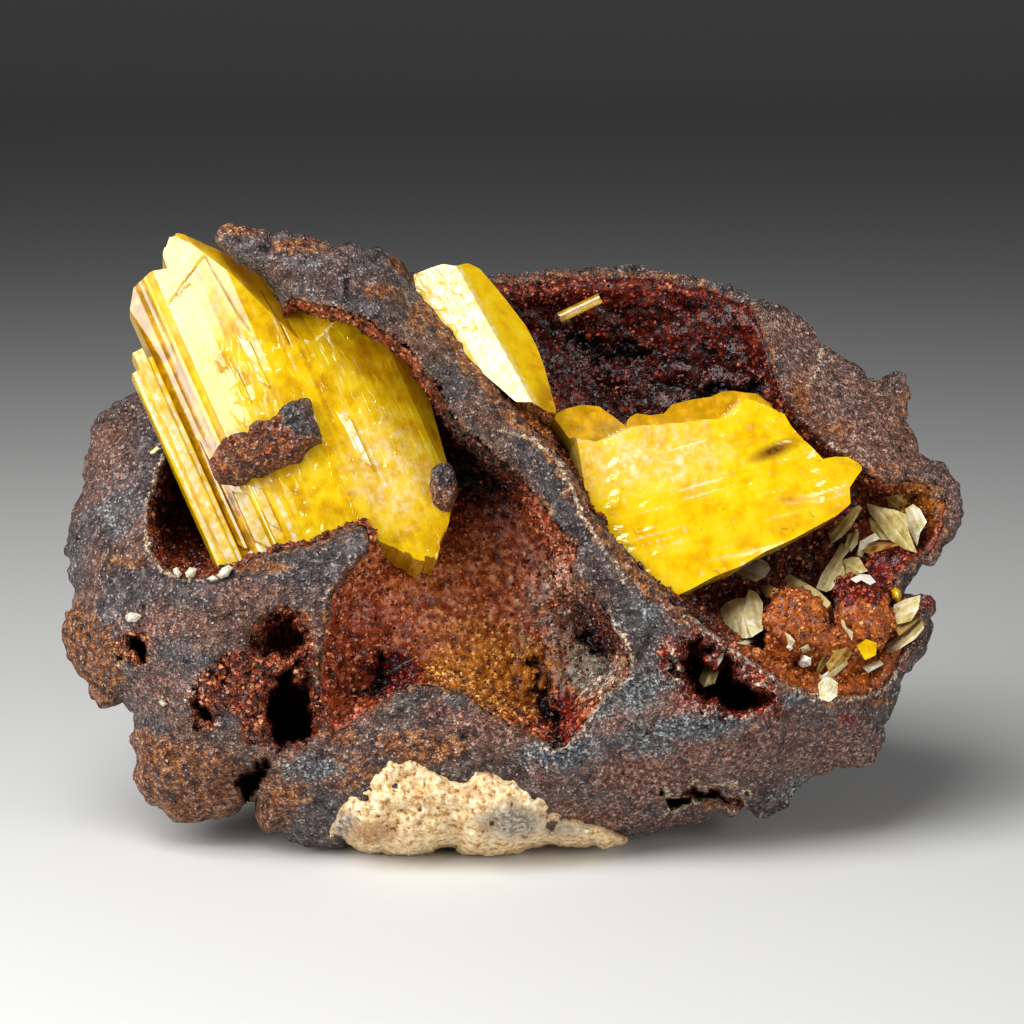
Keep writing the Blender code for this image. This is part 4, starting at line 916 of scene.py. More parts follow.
def make_druse():
    """Red-brown glossy grains, each with its own tone and painted light, other colours where zones
    say so.
    Grown faces are smooth, which gives the eye small wet-looking glints."""
    material, shader = new_material("goethite druse, glossy grains")
    where = add(material, "ShaderNodeTexCoord").outputs["Object"]
    shade = add(material, "ShaderNodeAttribute", {"attribute_name": "shade"}).outputs["Fac"]
    cloud = add(material, "ShaderNodeTexNoise", {"Scale": 1 / (0.8 * MM), "Detail": 4.0},
                Vector=where)
    shift = add(material, "ShaderNodeMath",
                {"operation": "MULTIPLY_ADD", "Value 2": 0.8, "Value 3": -0.4}, Value=cloud)
    value = add(material, "ShaderNodeMath", {"operation": "ADD"}, Value=shade, Value_2=shift)
    colour = add(material, "ShaderNodeValToRGB", {"stops": [
        (0.0, "#0C0201"), (0.35, "#4C1406"), (0.7, "#983F1C"), (1.0, "#DE9266")]}, Fac=value)
    for label, stops in DRUSE_TINTS:
        colour = overlaid(material, where, colour, label, 1.2, 0.7, 0.3, stops, value)
    fine = add(material, "ShaderNodeTexNoise", {"Scale": 1 / (0.22 * MM), "Detail": 1.0},
               Vector=where)
    bump = add(material, "ShaderNodeBump", {"Strength": 0.5, "Distance": 0.15 * MM}, Height=fine)
    # The index is lower than clean goethite's 2.3, because a thin, dull skin covers the grains.
    set_up(material, shader, {"Roughness": 0.32, "IOR": 1.6, "Specular IOR Level": 0.3},
           Base_Color=colour, Normal=bump)
    return material


DRUSE = make_druse()
print(DRUSE.name)

# %% [markdown]
# ## Grains
# The real crust is a mass of crystals a few tenths of a millimetre across. Each is made as a body
# with eight faces, turned at random and half sunk in its sheet. All grains of a sheet are one mesh,
# which renders much faster than thousands of objects.

# %% Grains scattered on a sheet
OCTAHEDRON = np.array([(1, 0, 0), (-1, 0, 0), (0, 1, 0), (0, -1, 0), (0, 0, 1.2), (0, 0, -1.2)])
OCTAHEDRON_FACES = np.array([(0, 2, 4), (2, 1, 4), (1, 3, 4), (3, 0, 4),
                             (2, 0, 5), (1, 2, 5), (3, 1, 5), (0, 3, 5)])


def grains_on(points, quads, count, sizes, seed, weights):
    """Octahedra turned at random, centred on random spots of a sheet, larger ones rarer."""
    random = np.random.default_rng(seed)
    corner = points[quads]
    facing = np.cross(corner[:, 2] - corner[:, 0], corner[:, 3] - corner[:, 1])
    area = np.linalg.norm(facing, axis=1) * weights[quads].mean(axis=1)
    owner = random.choice(len(quads), count, p=area / area.sum())
    u, v = random.random((2, count, 1))
    spots = ((1 - u) * (1 - v) * corner[owner, 0] + u * (1 - v) * corner[owner, 1]
             + u * v * corner[owner, 2] + (1 - u) * v * corner[owner, 3])
    turn = random.normal(size=(count, 4))
    turn /= np.linalg.norm(turn, axis=1, keepdims=True)
    w, x, y, z = turn.T
    matrix = np.stack([
        1 - 2 * (y * y + z * z), 2 * (x * y - w * z), 2 * (x * z + w * y),
        2 * (x * y + w * z), 1 - 2 * (x * x + z * z), 2 * (y * z - w * x),
        2 * (x * z - w * y), 2 * (y * z + w * x), 1 - 2 * (x * x + y * y)], axis=1)
    matrix = matrix.reshape(count, 3, 3)
    size = sizes[0] + (sizes[1] - sizes[0]) * random.random(count) ** 2.5
    body = np.einsum("nij,kj->nki", matrix, OCTAHEDRON) * (size * MM)[:, None, None]
    verts = (spots[:, None] + body).reshape(-1, 3)
    faces = (OCTAHEDRON_FACES[None] + 6 * np.arange(count)[:, None, None]).reshape(-1, 3)
    shade = np.repeat(random.normal(0.5, 0.24, count), 6)
    return verts, faces, shade, np.repeat(quads[owner, 0], 6)


def druse_grains(name, sheet, count, sizes, seed, weights, light, zones, replaces=()):
    """Grains on a sheet, as a piece. Each takes the painted light and zones of the spot it stands
    on.
    """
    verts, tris, tint, owner = grains_on(*sheet, count, sizes, seed, weights)
    new_piece(name, verts, tris, DRUSE, "druse", replaces, smooth=False, shade=tint + light[owner],
              **{label: numbers[owner] for label, numbers in zones.items()})


print("a grain has", len(OCTAHEDRON_FACES), "faces")

# %% [markdown]
# ## Linings of the two big hollows
# The lining follows the hollow's wall and floor a millimetre above the rock's own relief and
# dives into it at the lip, so that no gap shows. Clustered domes stand on it as the nodules.

# %% The crust's depth
LINING_LIFT = 1.2       # millimetres off the hollow's floor
LINING_THICKNESS = 0.4  # millimetres
CREVICES = {"front": [[(536, 668), (546, 700), (557, 740)], [(370, 694), (379, 664)],
                      [(590, 636), (606, 655)]],
            "back": [[(575, 344), (612, 356), (640, 350)], [(700, 396), (756, 390)]]}
SMALL_NODULES = [(829, 642, 17, 8.2), (784, 645, 19, 8.2), (846, 646, 13, 7.8), (812, 655, 15, 8.0)]
CLUSTERS = [(885, 572, 20, 2.4), (906, 566, 17, 2.6), (848, 590, 15, 3.6), (872, 589, 15, 3.8)]


def lining_depth(name, seed, x, y):
    """The skin's depth falling to the lifted floor by the wall's share, plus lumps and ledges."""
    _, floor, run = HOLLOWS[name]
    skin = skin_depth(x, y)
    distance = hollow_inside(name, x, y) - 2.5
    base = np.minimum(floor_of(floor, x, y) + LINING_LIFT, skin)
    level = skin - 0.7 + (base - skin + 0.7) * wall_share(distance, run)
    size = 0.7 if name == "back" else 0.45
    rough = size * lumps(x, y, 26.0, seed) + 0.6 * size * lumps(x, y, 11.0, seed + 1)
    rough += 0.5 * size * flat_noise(x / 2, y, 17.0, seed + 5)
    crevice = np.min([line_distance(line, *ragged(x, y, seed, 3.0))
                      for line in CREVICES[name]], axis=0)
    rough -= 1.3 * held(1.3 - crevice / 6)
    level = level + rough * smooth_step(distance / 8) + 0.14 * flat_noise(x, y, 5.0, seed + 2)
    level = np.where(distance < 0, level - 1.2 * smooth_step(-distance / 6), level)
    return level, distance, crevice


print(len(CREVICES["front"]) + len(CREVICES["back"]), "crevices")


# %% Nodules
def with_nodules(nodules, x, y, level):
    """Domes crowded on larger domes, lumpy like a cauliflower. Heights are in millimetres."""
    on_nodule = np.zeros(x.shape)
    for cx, cy, radius, top in nodules:
        for lobe in range(11):
            angle, spread = 2.4 * lobe + cx, 0.7 * radius * math.sqrt(lobe / 10)
            size = radius * (0.62 - 0.02 * lobe)
            span = np.hypot(x - cx - spread * math.cos(angle), y - cy - spread * math.sin(angle))
            crown = top - 0.1 * radius * (1 - math.sqrt(1 - (spread / radius) ** 2))
            reach = held(span / size)
            dome = crown - 0.1 * size * (1 - np.sqrt(1 - reach ** 2))
            dome = dome + 0.4 * lumps(x, y, 10.0, 93) + 0.15 * lumps(x, y, 5.0, 94) - 0.45
            raised = (reach < 0.97) & (dome > level)
            level = np.where(raised, dome, level)
            on_nodule = np.where(raised, 1.0, on_nodule)
    return level, on_nodule


def back_level(x, y):
    """Depth of the back hollow's crust with its nodules, and where those stand."""
    level, distance, crevice = lining_depth("back", 12, x, y)
    level, cluster = with_nodules(CLUSTERS, x, y, level)
    level, nodule = with_nodules(NODULES + SMALL_NODULES, x, y, level)
    return level, distance, crevice, nodule, cluster


print(len(CLUSTERS + NODULES + SMALL_NODULES), "nodules")


# %% Colour zones of the linings
def front_zones(x, y):
    """Gold-brown in the lower middle, grey on the right, dark red in the small pockets, and painted
    light and shade.
    """
    zones = {
        "warm": spots_of([(490, 676, 85, 44, 1.0), (470, 640, 70, 30, 0.6)], x, y),
        "grey": spots_of([(592, 672, 36, 28, 0.75), (560, 600, 50, 60, 0.45)], x, y),
        "crimson": spots_of([(397, 672, 26, 20, 1.1), (562, 718, 16, 34, 0.9),
                             (420, 640, 40, 20, 0.4), (440, 440, 60, 50, 0.5)], x, y),
        "nodule": spots_of([(440, 560, 90, 60, 0.45)], x, y)}
    # Painted light and shade: a lit pool in the lower middle, painted shade under the large
    # crystal, at the left and in the pockets.
    light = 0.05 + spots_of([(460, 590, 110, 70, 0.22), (592, 672, 34, 26, 0.05)], x, y)
    light = light - spots_of([(480, 440, 60, 60, 0.5), (596, 620, 34, 30, 0.35),
                              (397, 672, 26, 20, 0.25), (230, 480, 110, 100, 0.35)], x, y)
    return zones, light


def back_zones(x, y, nodule, cluster):
    """Orange-brown nodules and lower right, dark red wall behind in painted shade, orange pockets
    at its ends.
    """
    low = held(0.5 + (y - 640) / 50) * (x > 735)
    zones = {
        "warm": np.maximum(0.5 * low, spots_of([
            (918, 500, 26, 26, 1.0), (525, 415, 46, 30, 0.9), (810, 668, 60, 20, 0.8),
            (870, 670, 40, 20, 0.7)], x, y)),
        "nodule": np.maximum(nodule, low * 0.8),
        "crimson": np.maximum(0.9 * cluster, spots_of([(640, 350, 190, 90, 0.7)], x, y)),
        "grey": spots_of([(640, 392, 120, 12, 0.55), (770, 560, 60, 26, 0.3)], x, y)}
    # Painted shade on the upper back wall and a painted shadow beside the nodules, painted light
    # along the top rim and in the left pocket.
    behind = held((560 - y) / 60) * held((800 - x) / 60)
    light = -0.26 * behind + spots_of([(620, 290, 200, 14, 0.2), (525, 415, 46, 30, 0.45),
                                      (690, 330, 60, 20, 0.1)], x, y)
    shadow = spots_of([(700, 600, 60, 34, 0.3), (780, 550, 60, 30, 0.2)], x, y)
    return zones, light - shadow * (1 - nodule)


print("zones:", ", ".join(back_zones(*np.zeros((4, 1)))[0]))


# %% Build the linings
def make_lining(name, hollow, node, seed, step, count, wall_count):
    """Lining sheet as a closed crust, its grains, and more grains where its walls are steep."""
    ring = dense(rounded(HOLLOWS[hollow][0]))
    x, y, quads, rim = grid_sheet(ring, step)
    if hollow == "back":
        level, distance, crevice, nodule, cluster = back_level(x, y)
        zones, light = back_zones(x, y, nodule, cluster)
    else:
        level, distance, crevice = lining_depth(hollow, seed, x, y)
        zones, light = front_zones(x, y)
    # Painted shade: darker in the crevices and between the lumps, lighter on the lumps' tops.
    light = light - 0.6 * held(1.2 - crevice / 7)
    light = light + 0.28 * (lumps(x, y, 11.0, seed + 1) - 0.7)
    edge = inside_distance(ROCK_RING, x, y, 200.0)
    drop = thin_plate(RIM_DEPTHS, x, y)
    level = drop + (level - drop) * edge_rise(edge, FRONT_ROUNDING)
    front = place(x, y, level)
    rear = place(x, y, level - LINING_THICKNESS)
    points, faces = between_sheets(front, rear, quads, rim, False)
    normals = normals_of(front, quads)
    # The shade value is each spot's random tone plus its painted light and shade.
    shade = 0.42 + 0.25 * flat_noise(x, y, 3.0, seed + 3) + light
    new_piece(name, points, faces, DRUSE, "druse", [node], shade=np.tile(shade, 2),
              **{label: np.tile(numbers, 2) for label, numbers in zones.items()})
    weights = smooth_step(distance / 4 + 0.3) * np.clip(1.3 - 0.9 * (normals @ -NEAR), 0.2, 2)
    druse_grains(name + "_grains", (front, quads), count, (0.10, 0.30), seed, weights, light,
                 zones, [node])
    steep = smooth_step(distance / 4 + 0.5) * held(1.3 - 2 * np.abs(normals @ NEAR))
    druse_grains(name + "_wall_grains", (front, quads), wall_count, (0.14, 0.4), seed + 30, steep,
                 light, zones, [node])


make_lining("front_druse", "front", "front_vug_druse", 11, 2.4, 14000, 8000)
make_lining("back_druse", "back", "back_vug_druse", 12, 2.4, 18000, 4000)


# %% Grains in the small pockets
def make_pocket_grains(name, outline, count, sizes, seed, **levels):
    """Grains on the rock's own relief, inside an outline, for the small pockets' druse."""
    ring = dense(rounded(outline, 1))
    x, y, quads, rim = grid_sheet(ring, 3.0)
    depth, _, zones = rock_relief(x, y)
    front = place(x, y, depth)
    weights = smooth_step(inside_distance(ring, *ragged(x, y, 45, 2.2)) / 8) + 0.05
    # A random tone, with painted shade where the rock's small hollows are painted black.
    light = 0.25 * flat_noise(x, y, 12.0, seed) - 0.5 * zones["deep"]
    druse_grains(name, (front, quads), count, sizes, seed, weights, light,
                 {label: np.full(len(x), level) for label, level in levels.items()})


RED_GRAINS = [(655, 636), (700, 628), (745, 652), (785, 690), (786, 722), (740, 726), (690, 708),
              (655, 676)]
LEFT_GRAINS = [(112, 634), (132, 622), (156, 634), (157, 662), (138, 674), (114, 664)]
make_pocket_grains("cavity_grains", CAVITY, 6500, (0.10, 0.32), 21, crimson=0.35, warm=0.3)
make_pocket_grains("red_pocket_grains", RED_GRAINS, 4000, (0.10, 0.28), 22, crimson=0.8)
make_pocket_grains("left_pocket_grains", LEFT_GRAINS, 1200, (0.10, 0.25), 23, warm=0.5)

# %% [markdown]
# ## Legrandite
# Legrandite is a clear to milky yellow zinc arsenate, with a refractive index of 1.7. Its faces
# are grown, so they are glassy. Part of the body is see-through with a yellow absorption, which
# deepens the colour with the light's way through it, and the milky part is plain colour.


# %% Legrandite material
def make_legrandite(name, milky):
    """Yellow body, part clear and part milky, pale, amber and brown where a zone says so.
    The low roughness of grown faces gives the eye sharp reflections over a deep colour."""
    material, shader = new_material(name)
    where = add(material, "ShaderNodeTexCoord").outputs["Object"]
    cloud = add(material, "ShaderNodeTexNoise",
                {"Scale": 1 / (2.2 * MM), "Detail": 6.0, "Roughness": 0.6}, Vector=where)
    streak = add(material, "ShaderNodeAttribute", {"attribute_name": "streak"})
    value = add(material, "ShaderNodeMath", {"operation": "MULTIPLY_ADD", "Value 2": 0.13},
                Value=streak.outputs["Fac"], Value_3=cloud)
    body = add(material, "ShaderNodeValToRGB", {"stops": [
        (0.26, "#C68F00"), (0.4, "#E3AE00"), (0.52, "#F1C606"), (0.64, "#F6D120"),
        (0.84, "#FCE47A")]}, Fac=value)
    # The pale zone is partly painted highlight and painted reflection.
    colour = overlaid(material, where, body, "pale", 0.8, 0.2, 0.4, [
        (0.35, "#E6BE3C"), (0.5, "#EFD07C"), (0.65, "#F8E4BE")])
    colour = overlaid(material, where, colour, "amber", 1.5, 0.2, 0.35, [
        (0.35, "#8E6000"), (0.5, "#BE8606"), (0.65, "#E0AC1C")])
    colour = overlaid(material, where, colour, "crack", 0.5, 0.2, 0.35, [
        (0.4, "#5A3206"), (0.6, "#8A5A14")])
    clear = add(material, "ShaderNodeMapRange",
                {"From Min": 0.4, "From Max": 0.62, "To Min": 0.6 - milky,
                 "To Max": 0.42 - milky / 2}, Value=cloud)
    depth = add(material, "ShaderNodeVolumeAbsorption",
                {"Density": 110.0, "Color": linear("#FFD000")})
    set_up(material, material.node_tree.nodes["Material Output"], Volume=depth)
    bump = add(material, "ShaderNodeBump", {"Strength": 0.15, "Distance": 0.1 * MM}, Height=cloud)
    set_up(material, shader, {"Roughness": 0.1, "IOR": 1.7}, Base_Color=colour, Normal=bump,
           Transmission_Weight=clear)
    return material


LEGRANDITE = make_legrandite("legrandite, clear to milky", 0.2)
LEGRANDITE_MILKY = make_legrandite("legrandite, milky", 0.45)
for node in ("legrandite_bud", "legrandite_grain"):
    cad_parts[node].data.materials.clear()
    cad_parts[node].data.materials.append(LEGRANDITE)
print(LEGRANDITE.name, "and", LEGRANDITE_MILKY.name)

# %% [markdown]
# ## The large crystal
# It is a bundle of thin columns, grown side by side and ended at different heights. A grid across
# and along it is moved off its face by a few knots, by zigzag striations and by small steps, each
# column with its own small tilt, so that lights are reflected in streaks. A bump texture couldn't
# do this, because the columns show at the outline too.

# %% The large crystal's outline and depths
# Knots are pixels across the crystal, then pixels along it or millimetres off its face.
CRYSTAL_LEAN = math.atan2(213, 95)   # of its length, down from level
LARGE_FACE = face_plane([(170, 250, 3), (232, 560, 11), (440, 480, 6)])
LARGE_TOP = [
    (-28, 387), (-20.1, 386), (-20, 370), (-9.1, 370), (-9, 381), (-3.1, 381), (-3, 326), (8, 310),
    (27, 308), (43.9, 313), (44, 300), (58, 286), (68, 285), (97, 310), (123, 330), (150, 356),
    (183, 400), (219, 455), (238, 490), (241, 503)]
LARGE_FOOT = [
    (-28, 604), (-20, 613), (-9, 628), (0, 634), (22, 648), (44, 655), (97, 655), (113, 640),
    (118, 622), (124, 646), (155, 681), (171, 687), (193, 664), (216, 638), (230, 566), (241, 504)]
LARGE_FRONT = [
    (-28, -2.75), (-20.1, -2.6), (-20, -2.05), (-9.1, -1.9), (-9, -2.15), (-3.1, -2.0), (-3, -3.0),
    (22, -1.0), (30, -0.25), (58, 0.05), (97, 0.25), (123, 0.1), (150, 0.0), (171, 0.1), (183, 0.0),
    (200, -0.5), (216, -1.0), (238, -2.8), (241, -3.1)]
LARGE_BACK = [
    (-28, -4.6), (-9, -4.8), (0, -6.0), (44, -6.6), (97, -6.8), (171, -6.2), (216, -5.4),
    (241, -5.0)]
BEVEL = [(58, 281), (74.5, 299), (100, 346), (115, 385), (135, 433), (150, 440), (241, 400)]
CRACKS = [[(168, 305), (205, 256), (235, 310), (250, 332)], [(172, 300), (190, 285)],
          [(262, 286), (290, 345)]]
# Painted highlights: strips painted pale where the columns mirror the lamps.
PAINTED_HIGHLIGHT_STRIPS = [  # lit strips: where they lie across and along the crystal
    (-27, -20.5, 380, 600), (-19.5, -10, 372, 612), (-8.5, -3.5, 400, 622), (14, 26, 540, 630),
    (32, 41, 545, 612), (47, 53, 560, 640), (140, 150, 515, 580), (152, 156, 530, 620),
    (118, 121, 400, 470), (80, 86, 405, 465), (66, 69, 420, 452), (176, 178, 470, 590),
    (186, 187.5, 440, 560), (30, 33, 350, 420), (50, 52, 330, 400)]
LAMELLAE = [(140, 150, 515, 580), (14, 26, 540, 612), (32, 41, 545, 600), (80, 88, 405, 465),
            (-1, 6, 470, 600), (60, 66, 430, 470)]   # raised layers: b from and to, a from and to
print("the crystal leans", round(math.degrees(CRYSTAL_LEAN), 1), "degrees down from level")


# %% Across and along the crystal
def crystal_pixel(b, a):
    """Pixel = across distance b turned square to the length, plus distance a along the length."""
    cosine, sine = math.cos(CRYSTAL_LEAN), math.sin(CRYSTAL_LEAN)
    return sine * b + cosine * a, sine * a - cosine * b


def along(knots, value):
    """Straight lines between knots."""
    return np.interp(value, [knot[0] for knot in knots], [knot[1] for knot in knots])


def striations(value, widths, seed):
    """Zigzag from -1 to 1 through breaks at random spacings between two widths."""
    random = np.random.default_rng(seed)
    breaks = value.min() - 1 + np.cumsum(random.uniform(*widths, 4000))
    return np.interp(value, breaks, random.uniform(-1, 1, len(breaks)))


print("top at its middle:", along(LARGE_TOP, 97), "and foot:", along(LARGE_FOOT, 97))


# %% Depth of the large crystal's face
def large_front(b, a):
    """Offset of the face in millimetres: its columns, striations, lit strips and top bevel."""
    level = along(LARGE_FRONT, b)
    side = smooth_step((30 - b) / 12) + 0.7 * smooth_step((b - 110) / 60)
    fade = 0.5 + 0.5 * flat_noise(b, a / 12, 7.0, 101)
    level = level + (0.005 + 0.05 * side) * striations(b, (1.5, 6.0), 102) * fade
    level = level + (0.015 + 0.05 * side) * striations(b, (8.0, 22.0), 103)
    level = level + 0.04 * flat_noise(b, a, 55.0, 104)
    rough = smooth_step((a - 370 - 0.25 * b) / 40) * smooth_step((b - 40) / 20)
    level = level + 0.045 * rough * facets(b, a / 2, 9.0, 106)
    for b0, b1, a0, a1 in LAMELLAE:
        inside = (b > b0) & (b < b1) & (a > a0 + (b - b0)) & (a < a1 - 1.5 * (b1 - b))
        level = level + np.where(inside, 0.012 * (b - b0) + 0.05 + 0.003 * (a - a0), 0)
    over = np.clip(along(BEVEL, b) - a, 0, 200)
    level = level - 0.045 * over * (b > 57)
    x, y = crystal_pixel(b, a)
    crack = np.min([line_distance(line, x, y) for line in CRACKS], axis=0)
    return level - 0.015 * (crack < 1.2), held(1.5 - crack) * 0.75


print("face at its middle:", large_front(np.array([97.0]), np.array([450.0]))[0].round(2), "mm")


# %% Columns as a closed piece
def columns_solid(b, top, foot, front_of, back_of, rows, plane):
    """Closed piece: a front grid across and along, a back grid, caps at both ends and sides."""
    share = np.linspace(0, 1, rows)[:, None]
    a = top[None] + share * (foot - top)[None]
    wide = np.broadcast_to(b, a.shape)
    front, crack = front_of(wide, a)
    x, y = crystal_pixel(wide, a)
    fore = on_plane(plane, x, y, front)
    rear = on_plane(plane, x[[0, -1]], y[[0, -1]], np.minimum(back_of[None], front[[0, -1]] - 0.3))
    count = len(b)
    index = np.arange(rows * count).reshape(rows, count)
    last = rows * count + np.arange(2 * count).reshape(2, count)

    def cells(upper, lower):
        return np.stack([upper[:-1], lower[:-1], lower[1:], upper[1:]], axis=1)

    faces = [cells(index[row], index[row + 1]) for row in range(rows - 1)]
    faces += [cells(last[0], index[0]), cells(index[-1], last[1]), cells(last[1], last[0])]
    faces = np.concatenate(faces)
    left = np.stack([index[:-1, 0], index[1:, 0]], axis=1)
    right = np.stack([index[1:, -1], index[:-1, -1]], axis=1)
    points = np.concatenate([fore.reshape(-1, 3), rear.reshape(-1, 3)])
    middle = [points[index[:, 0]].mean(axis=0), points[index[:, -1]].mean(axis=0)]
    middle[0] = (middle[0] + points[last[0, 0]] + points[last[1, 0]]) / 3
    middle[1] = (middle[1] + points[last[0, -1]] + points[last[1, -1]]) / 3
    hub = len(points)
    points = np.concatenate([points, middle])
    left = np.concatenate([left, [[index[-1, 0], last[1, 0]], [last[1, 0], last[0, 0]],
                                  [last[0, 0], index[0, 0]]]])
    right = np.concatenate([right, [[last[1, -1], index[-1, -1]], [last[0, -1], last[1, -1]],
                                    [index[0, -1], last[0, -1]]]])
    ends = np.concatenate([np.column_stack([left[:, ::-1], np.full(len(left), hub)]),
                           np.column_stack([right[:, ::-1], np.full(len(right), hub + 1)])])
    tris = np.concatenate([faces[:, [0, 1, 2]], faces[:, [0, 2, 3]], ends])
    return points, tris, wide, a, crack


def padded(values, total):
    """Values with zeros added up to a total count."""
    return np.concatenate([values.ravel(), np.zeros(total - values.size)])


print("two values padded to four:", padded(np.ones(2), 4))


# %% Colour zones of the large crystal
def large_zones(b, a):
    """Pale, amber and streaked shares over the face, the pale share partly painted highlight."""
    wander = 10 * flat_noise(b / 8, a, 16.0, 107)
    strips = np.zeros(b.shape)
    for b0, b1, a0, a1 in PAINTED_HIGHLIGHT_STRIPS:
        across = held((b - b0) / 1.5) * held((b1 - b) / 1.5)
        lengthwise = held((a + wander - a0) / 8) * held((a1 - a - wander) / 8)
        strips = np.maximum(strips, across * lengthwise)
    # Painted reflection: the upper left is painted pale where the top softbox is mirrored.
    corner = 0.3 * smooth_step((118 - b) / 60) * smooth_step((420 - a + wander) / 60)
    lower = 0.5 * held(1.5 - np.hypot((b - 165) / 40, (a - 590) / 55))
    flecks = 0.55 * held(flat_noise(b, a / 6, 5.0, 108) + 0.5 * flat_noise(b, a / 3, 3.0, 109)
                            - 0.55)
    middle = held(1.4 - np.hypot((b - 120) / 34, (a - 440) / 60))
    pale = np.maximum.reduce([strips, corner * (b > 22), lower, flecks + 0.4 * flecks * middle])
    edge = held((b - 196) / 30) * 0.25 * (0.6 + 0.4 * flat_noise(b, a / 9, 8.0, 111))
    side = 0.85 * held((b + 4) / 3) * held((22 - b) / 4)
    bevel = 0.42 * held((along(BEVEL, b) - a) / 12) * (b > 57)
    foot = 0.55 * held((b - 150) / 20) * held((a - 640) / 30)
    return pale, np.maximum.reduce([edge, side, bevel, foot]) * (1 - strips)


print(len(PAINTED_HIGHLIGHT_STRIPS), "lit strips")


# %% Build the large crystal
def make_large():
    """The large crystal, from columns 1.2 pixels wide and rows 2 pixels apart."""
    breaks = [-20.1, -20, -9.1, -9, -3.1, -3, 43.9]   # both sides of each sharp step
    b = np.sort(np.concatenate([np.linspace(-28, 241, 226), breaks]))
    step_up = 2.5 * scrambled(np.floor(b / 5)[:, None], 105)
    top = along(LARGE_TOP, b) + step_up * (b > 44) * 0.6
    foot = along(LARGE_FOOT, b) + step_up
    points, tris, wide, a, crack = columns_solid(
        b, top, foot, large_front, along(LARGE_BACK, b), 150, LARGE_FACE)
    total = len(points)
    pale, amber = large_zones(wide, a)
    streak = striations(wide, (1.2, 5.0), 112) * (0.5 + 0.5 * flat_noise(wide, a / 14, 6.0, 113))
    return new_piece("legrandite_large_crystal", points, tris, LEGRANDITE, "legrandite",
                     ["legrandite_large"], smooth=False, pale=padded(pale, total),
                     amber=padded(amber, total), crack=padded(crack, total),
                     streak=padded(streak, total))


make_large()

# %% [markdown]
# ## Flaws
# Cracks and veils inside a clear crystal catch the light. They are thin flakes with four corners,
# tilted at random behind the face, so that a few of them flash at any angle.

# %% Flaws inside the large crystal
FLAW_COUNT = 1500
FLAW_THICKNESS = 0.04    # millimetres


def make_flaws():
    """Small tilted flakes behind the face, as the real crystal's inner cracks glint."""
    random = np.random.default_rng(110)
    count = FLAW_COUNT
    b = random.normal(110, 45, count)
    a = random.normal(470, 80, count)
    low, high = np.maximum(along(BEVEL, b), along(LARGE_TOP, b)) + 15, along(LARGE_FOOT, b) - 15
    held = (b > 30) & (b < 222) & (a > low) & (a < high)
    b, a, count = b[held], a[held], int(held.sum())
    depth = along(LARGE_FRONT, b) - 0.4 - 3.0 * random.random(count) ** 1.5
    x, y = crystal_pixel(b, a)
    spots = on_plane(LARGE_FACE, x, y, depth)
    normal = LARGE_FACE[1] + 0.8 * random.normal(size=(count, 3))
    normal /= np.linalg.norm(normal, axis=1, keepdims=True)
    side = np.cross(normal, random.normal(size=(count, 3)))
    side /= np.linalg.norm(side, axis=1, keepdims=True)
    other = np.cross(normal, side)
    size = (0.12 + 0.5 * random.random(count) ** 3) * MM
    thin = FLAW_THICKNESS * MM
    corners = [(1, 0.2), (0.3, 0.8), (-0.9, 0.3), (-0.4, -0.9)]
    sheet = [spots + size[:, None] * (u * side + v * other * 0.6) for u, v in corners]
    points = np.stack(sheet + [corner - thin * normal for corner in sheet], axis=1)
    box = np.array([(0, 1, 2, 3), (7, 6, 5, 4), (1, 0, 4, 5), (2, 1, 5, 6), (3, 2, 6, 7),
                    (0, 3, 7, 4)])
    faces = (box[None] + 8 * np.arange(count)[:, None, None]).reshape(-1, 4)
    # A crack is a thin film of air, which gives the eye a pale flash: its pale colour is a painted
    # flash, and it is smooth.
    material, shader = new_material("cracks in legrandite, bright yellow")
    set_up(material, shader, {"Base Color": linear("#FFE98A"), "Roughness": 0.15})
    new_piece("legrandite_large_flaws", points.reshape(-1, 3), faces, material, "legrandite",
              smooth=False)


make_flaws()

# %% [markdown]
# ## The centre crystal and the plate
# The centre crystal is a prism seen on its ridge, with a left side painted near white as a
# highlight. The plate is a stack of thin layers. Both are a front and a back depth on a grid of
# pixels, with a wall between, because their faces are nearly flat and their outlines are sharp.


# %% A face with a wall round it
def face_relief(name, outline, step, depth_of, back_of, replaces, finish, **zones):
    """Closed piece on a pixel grid: a front depth, a back depth, and a wall between them."""
    ring = dense(np.array(outline, float), 3.0)
    x, y, quads, rim = grid_sheet(ring, step)
    fore, rear = depth_of(x, y), back_of(x, y)
    points, faces = between_sheets(fore, rear, quads, rim, False)
    values = {label: np.tile(rule(x, y), 2) for label, rule in zones.items()}
    return new_piece(name, points, faces, finish, "legrandite", [replaces], smooth=False, **values)


print(face_relief.__name__, "is ready")

# %% The centre crystal
CENTRE_OUTLINE = [
    (413, 275), (430, 268), (443, 264), (455, 266), (468, 263), (480, 269), (493, 284), (506, 300),
    (526, 326), (536, 345), (544, 366), (551, 392), (557, 413), (548, 412), (532, 402), (516, 402),
    (498, 386), (480, 371), (462, 350), (445, 331), (430, 312), (418, 298)]


def plane_depth(knots, x, y):
    """Flat depth through three knots."""
    matrix = np.array([[kx, ky, 1.0] for kx, ky, _ in knots])
    slope_x, slope_y, level = np.linalg.solve(matrix, np.array([knot[2] for knot in knots]))
    return slope_x * x + slope_y * y + level


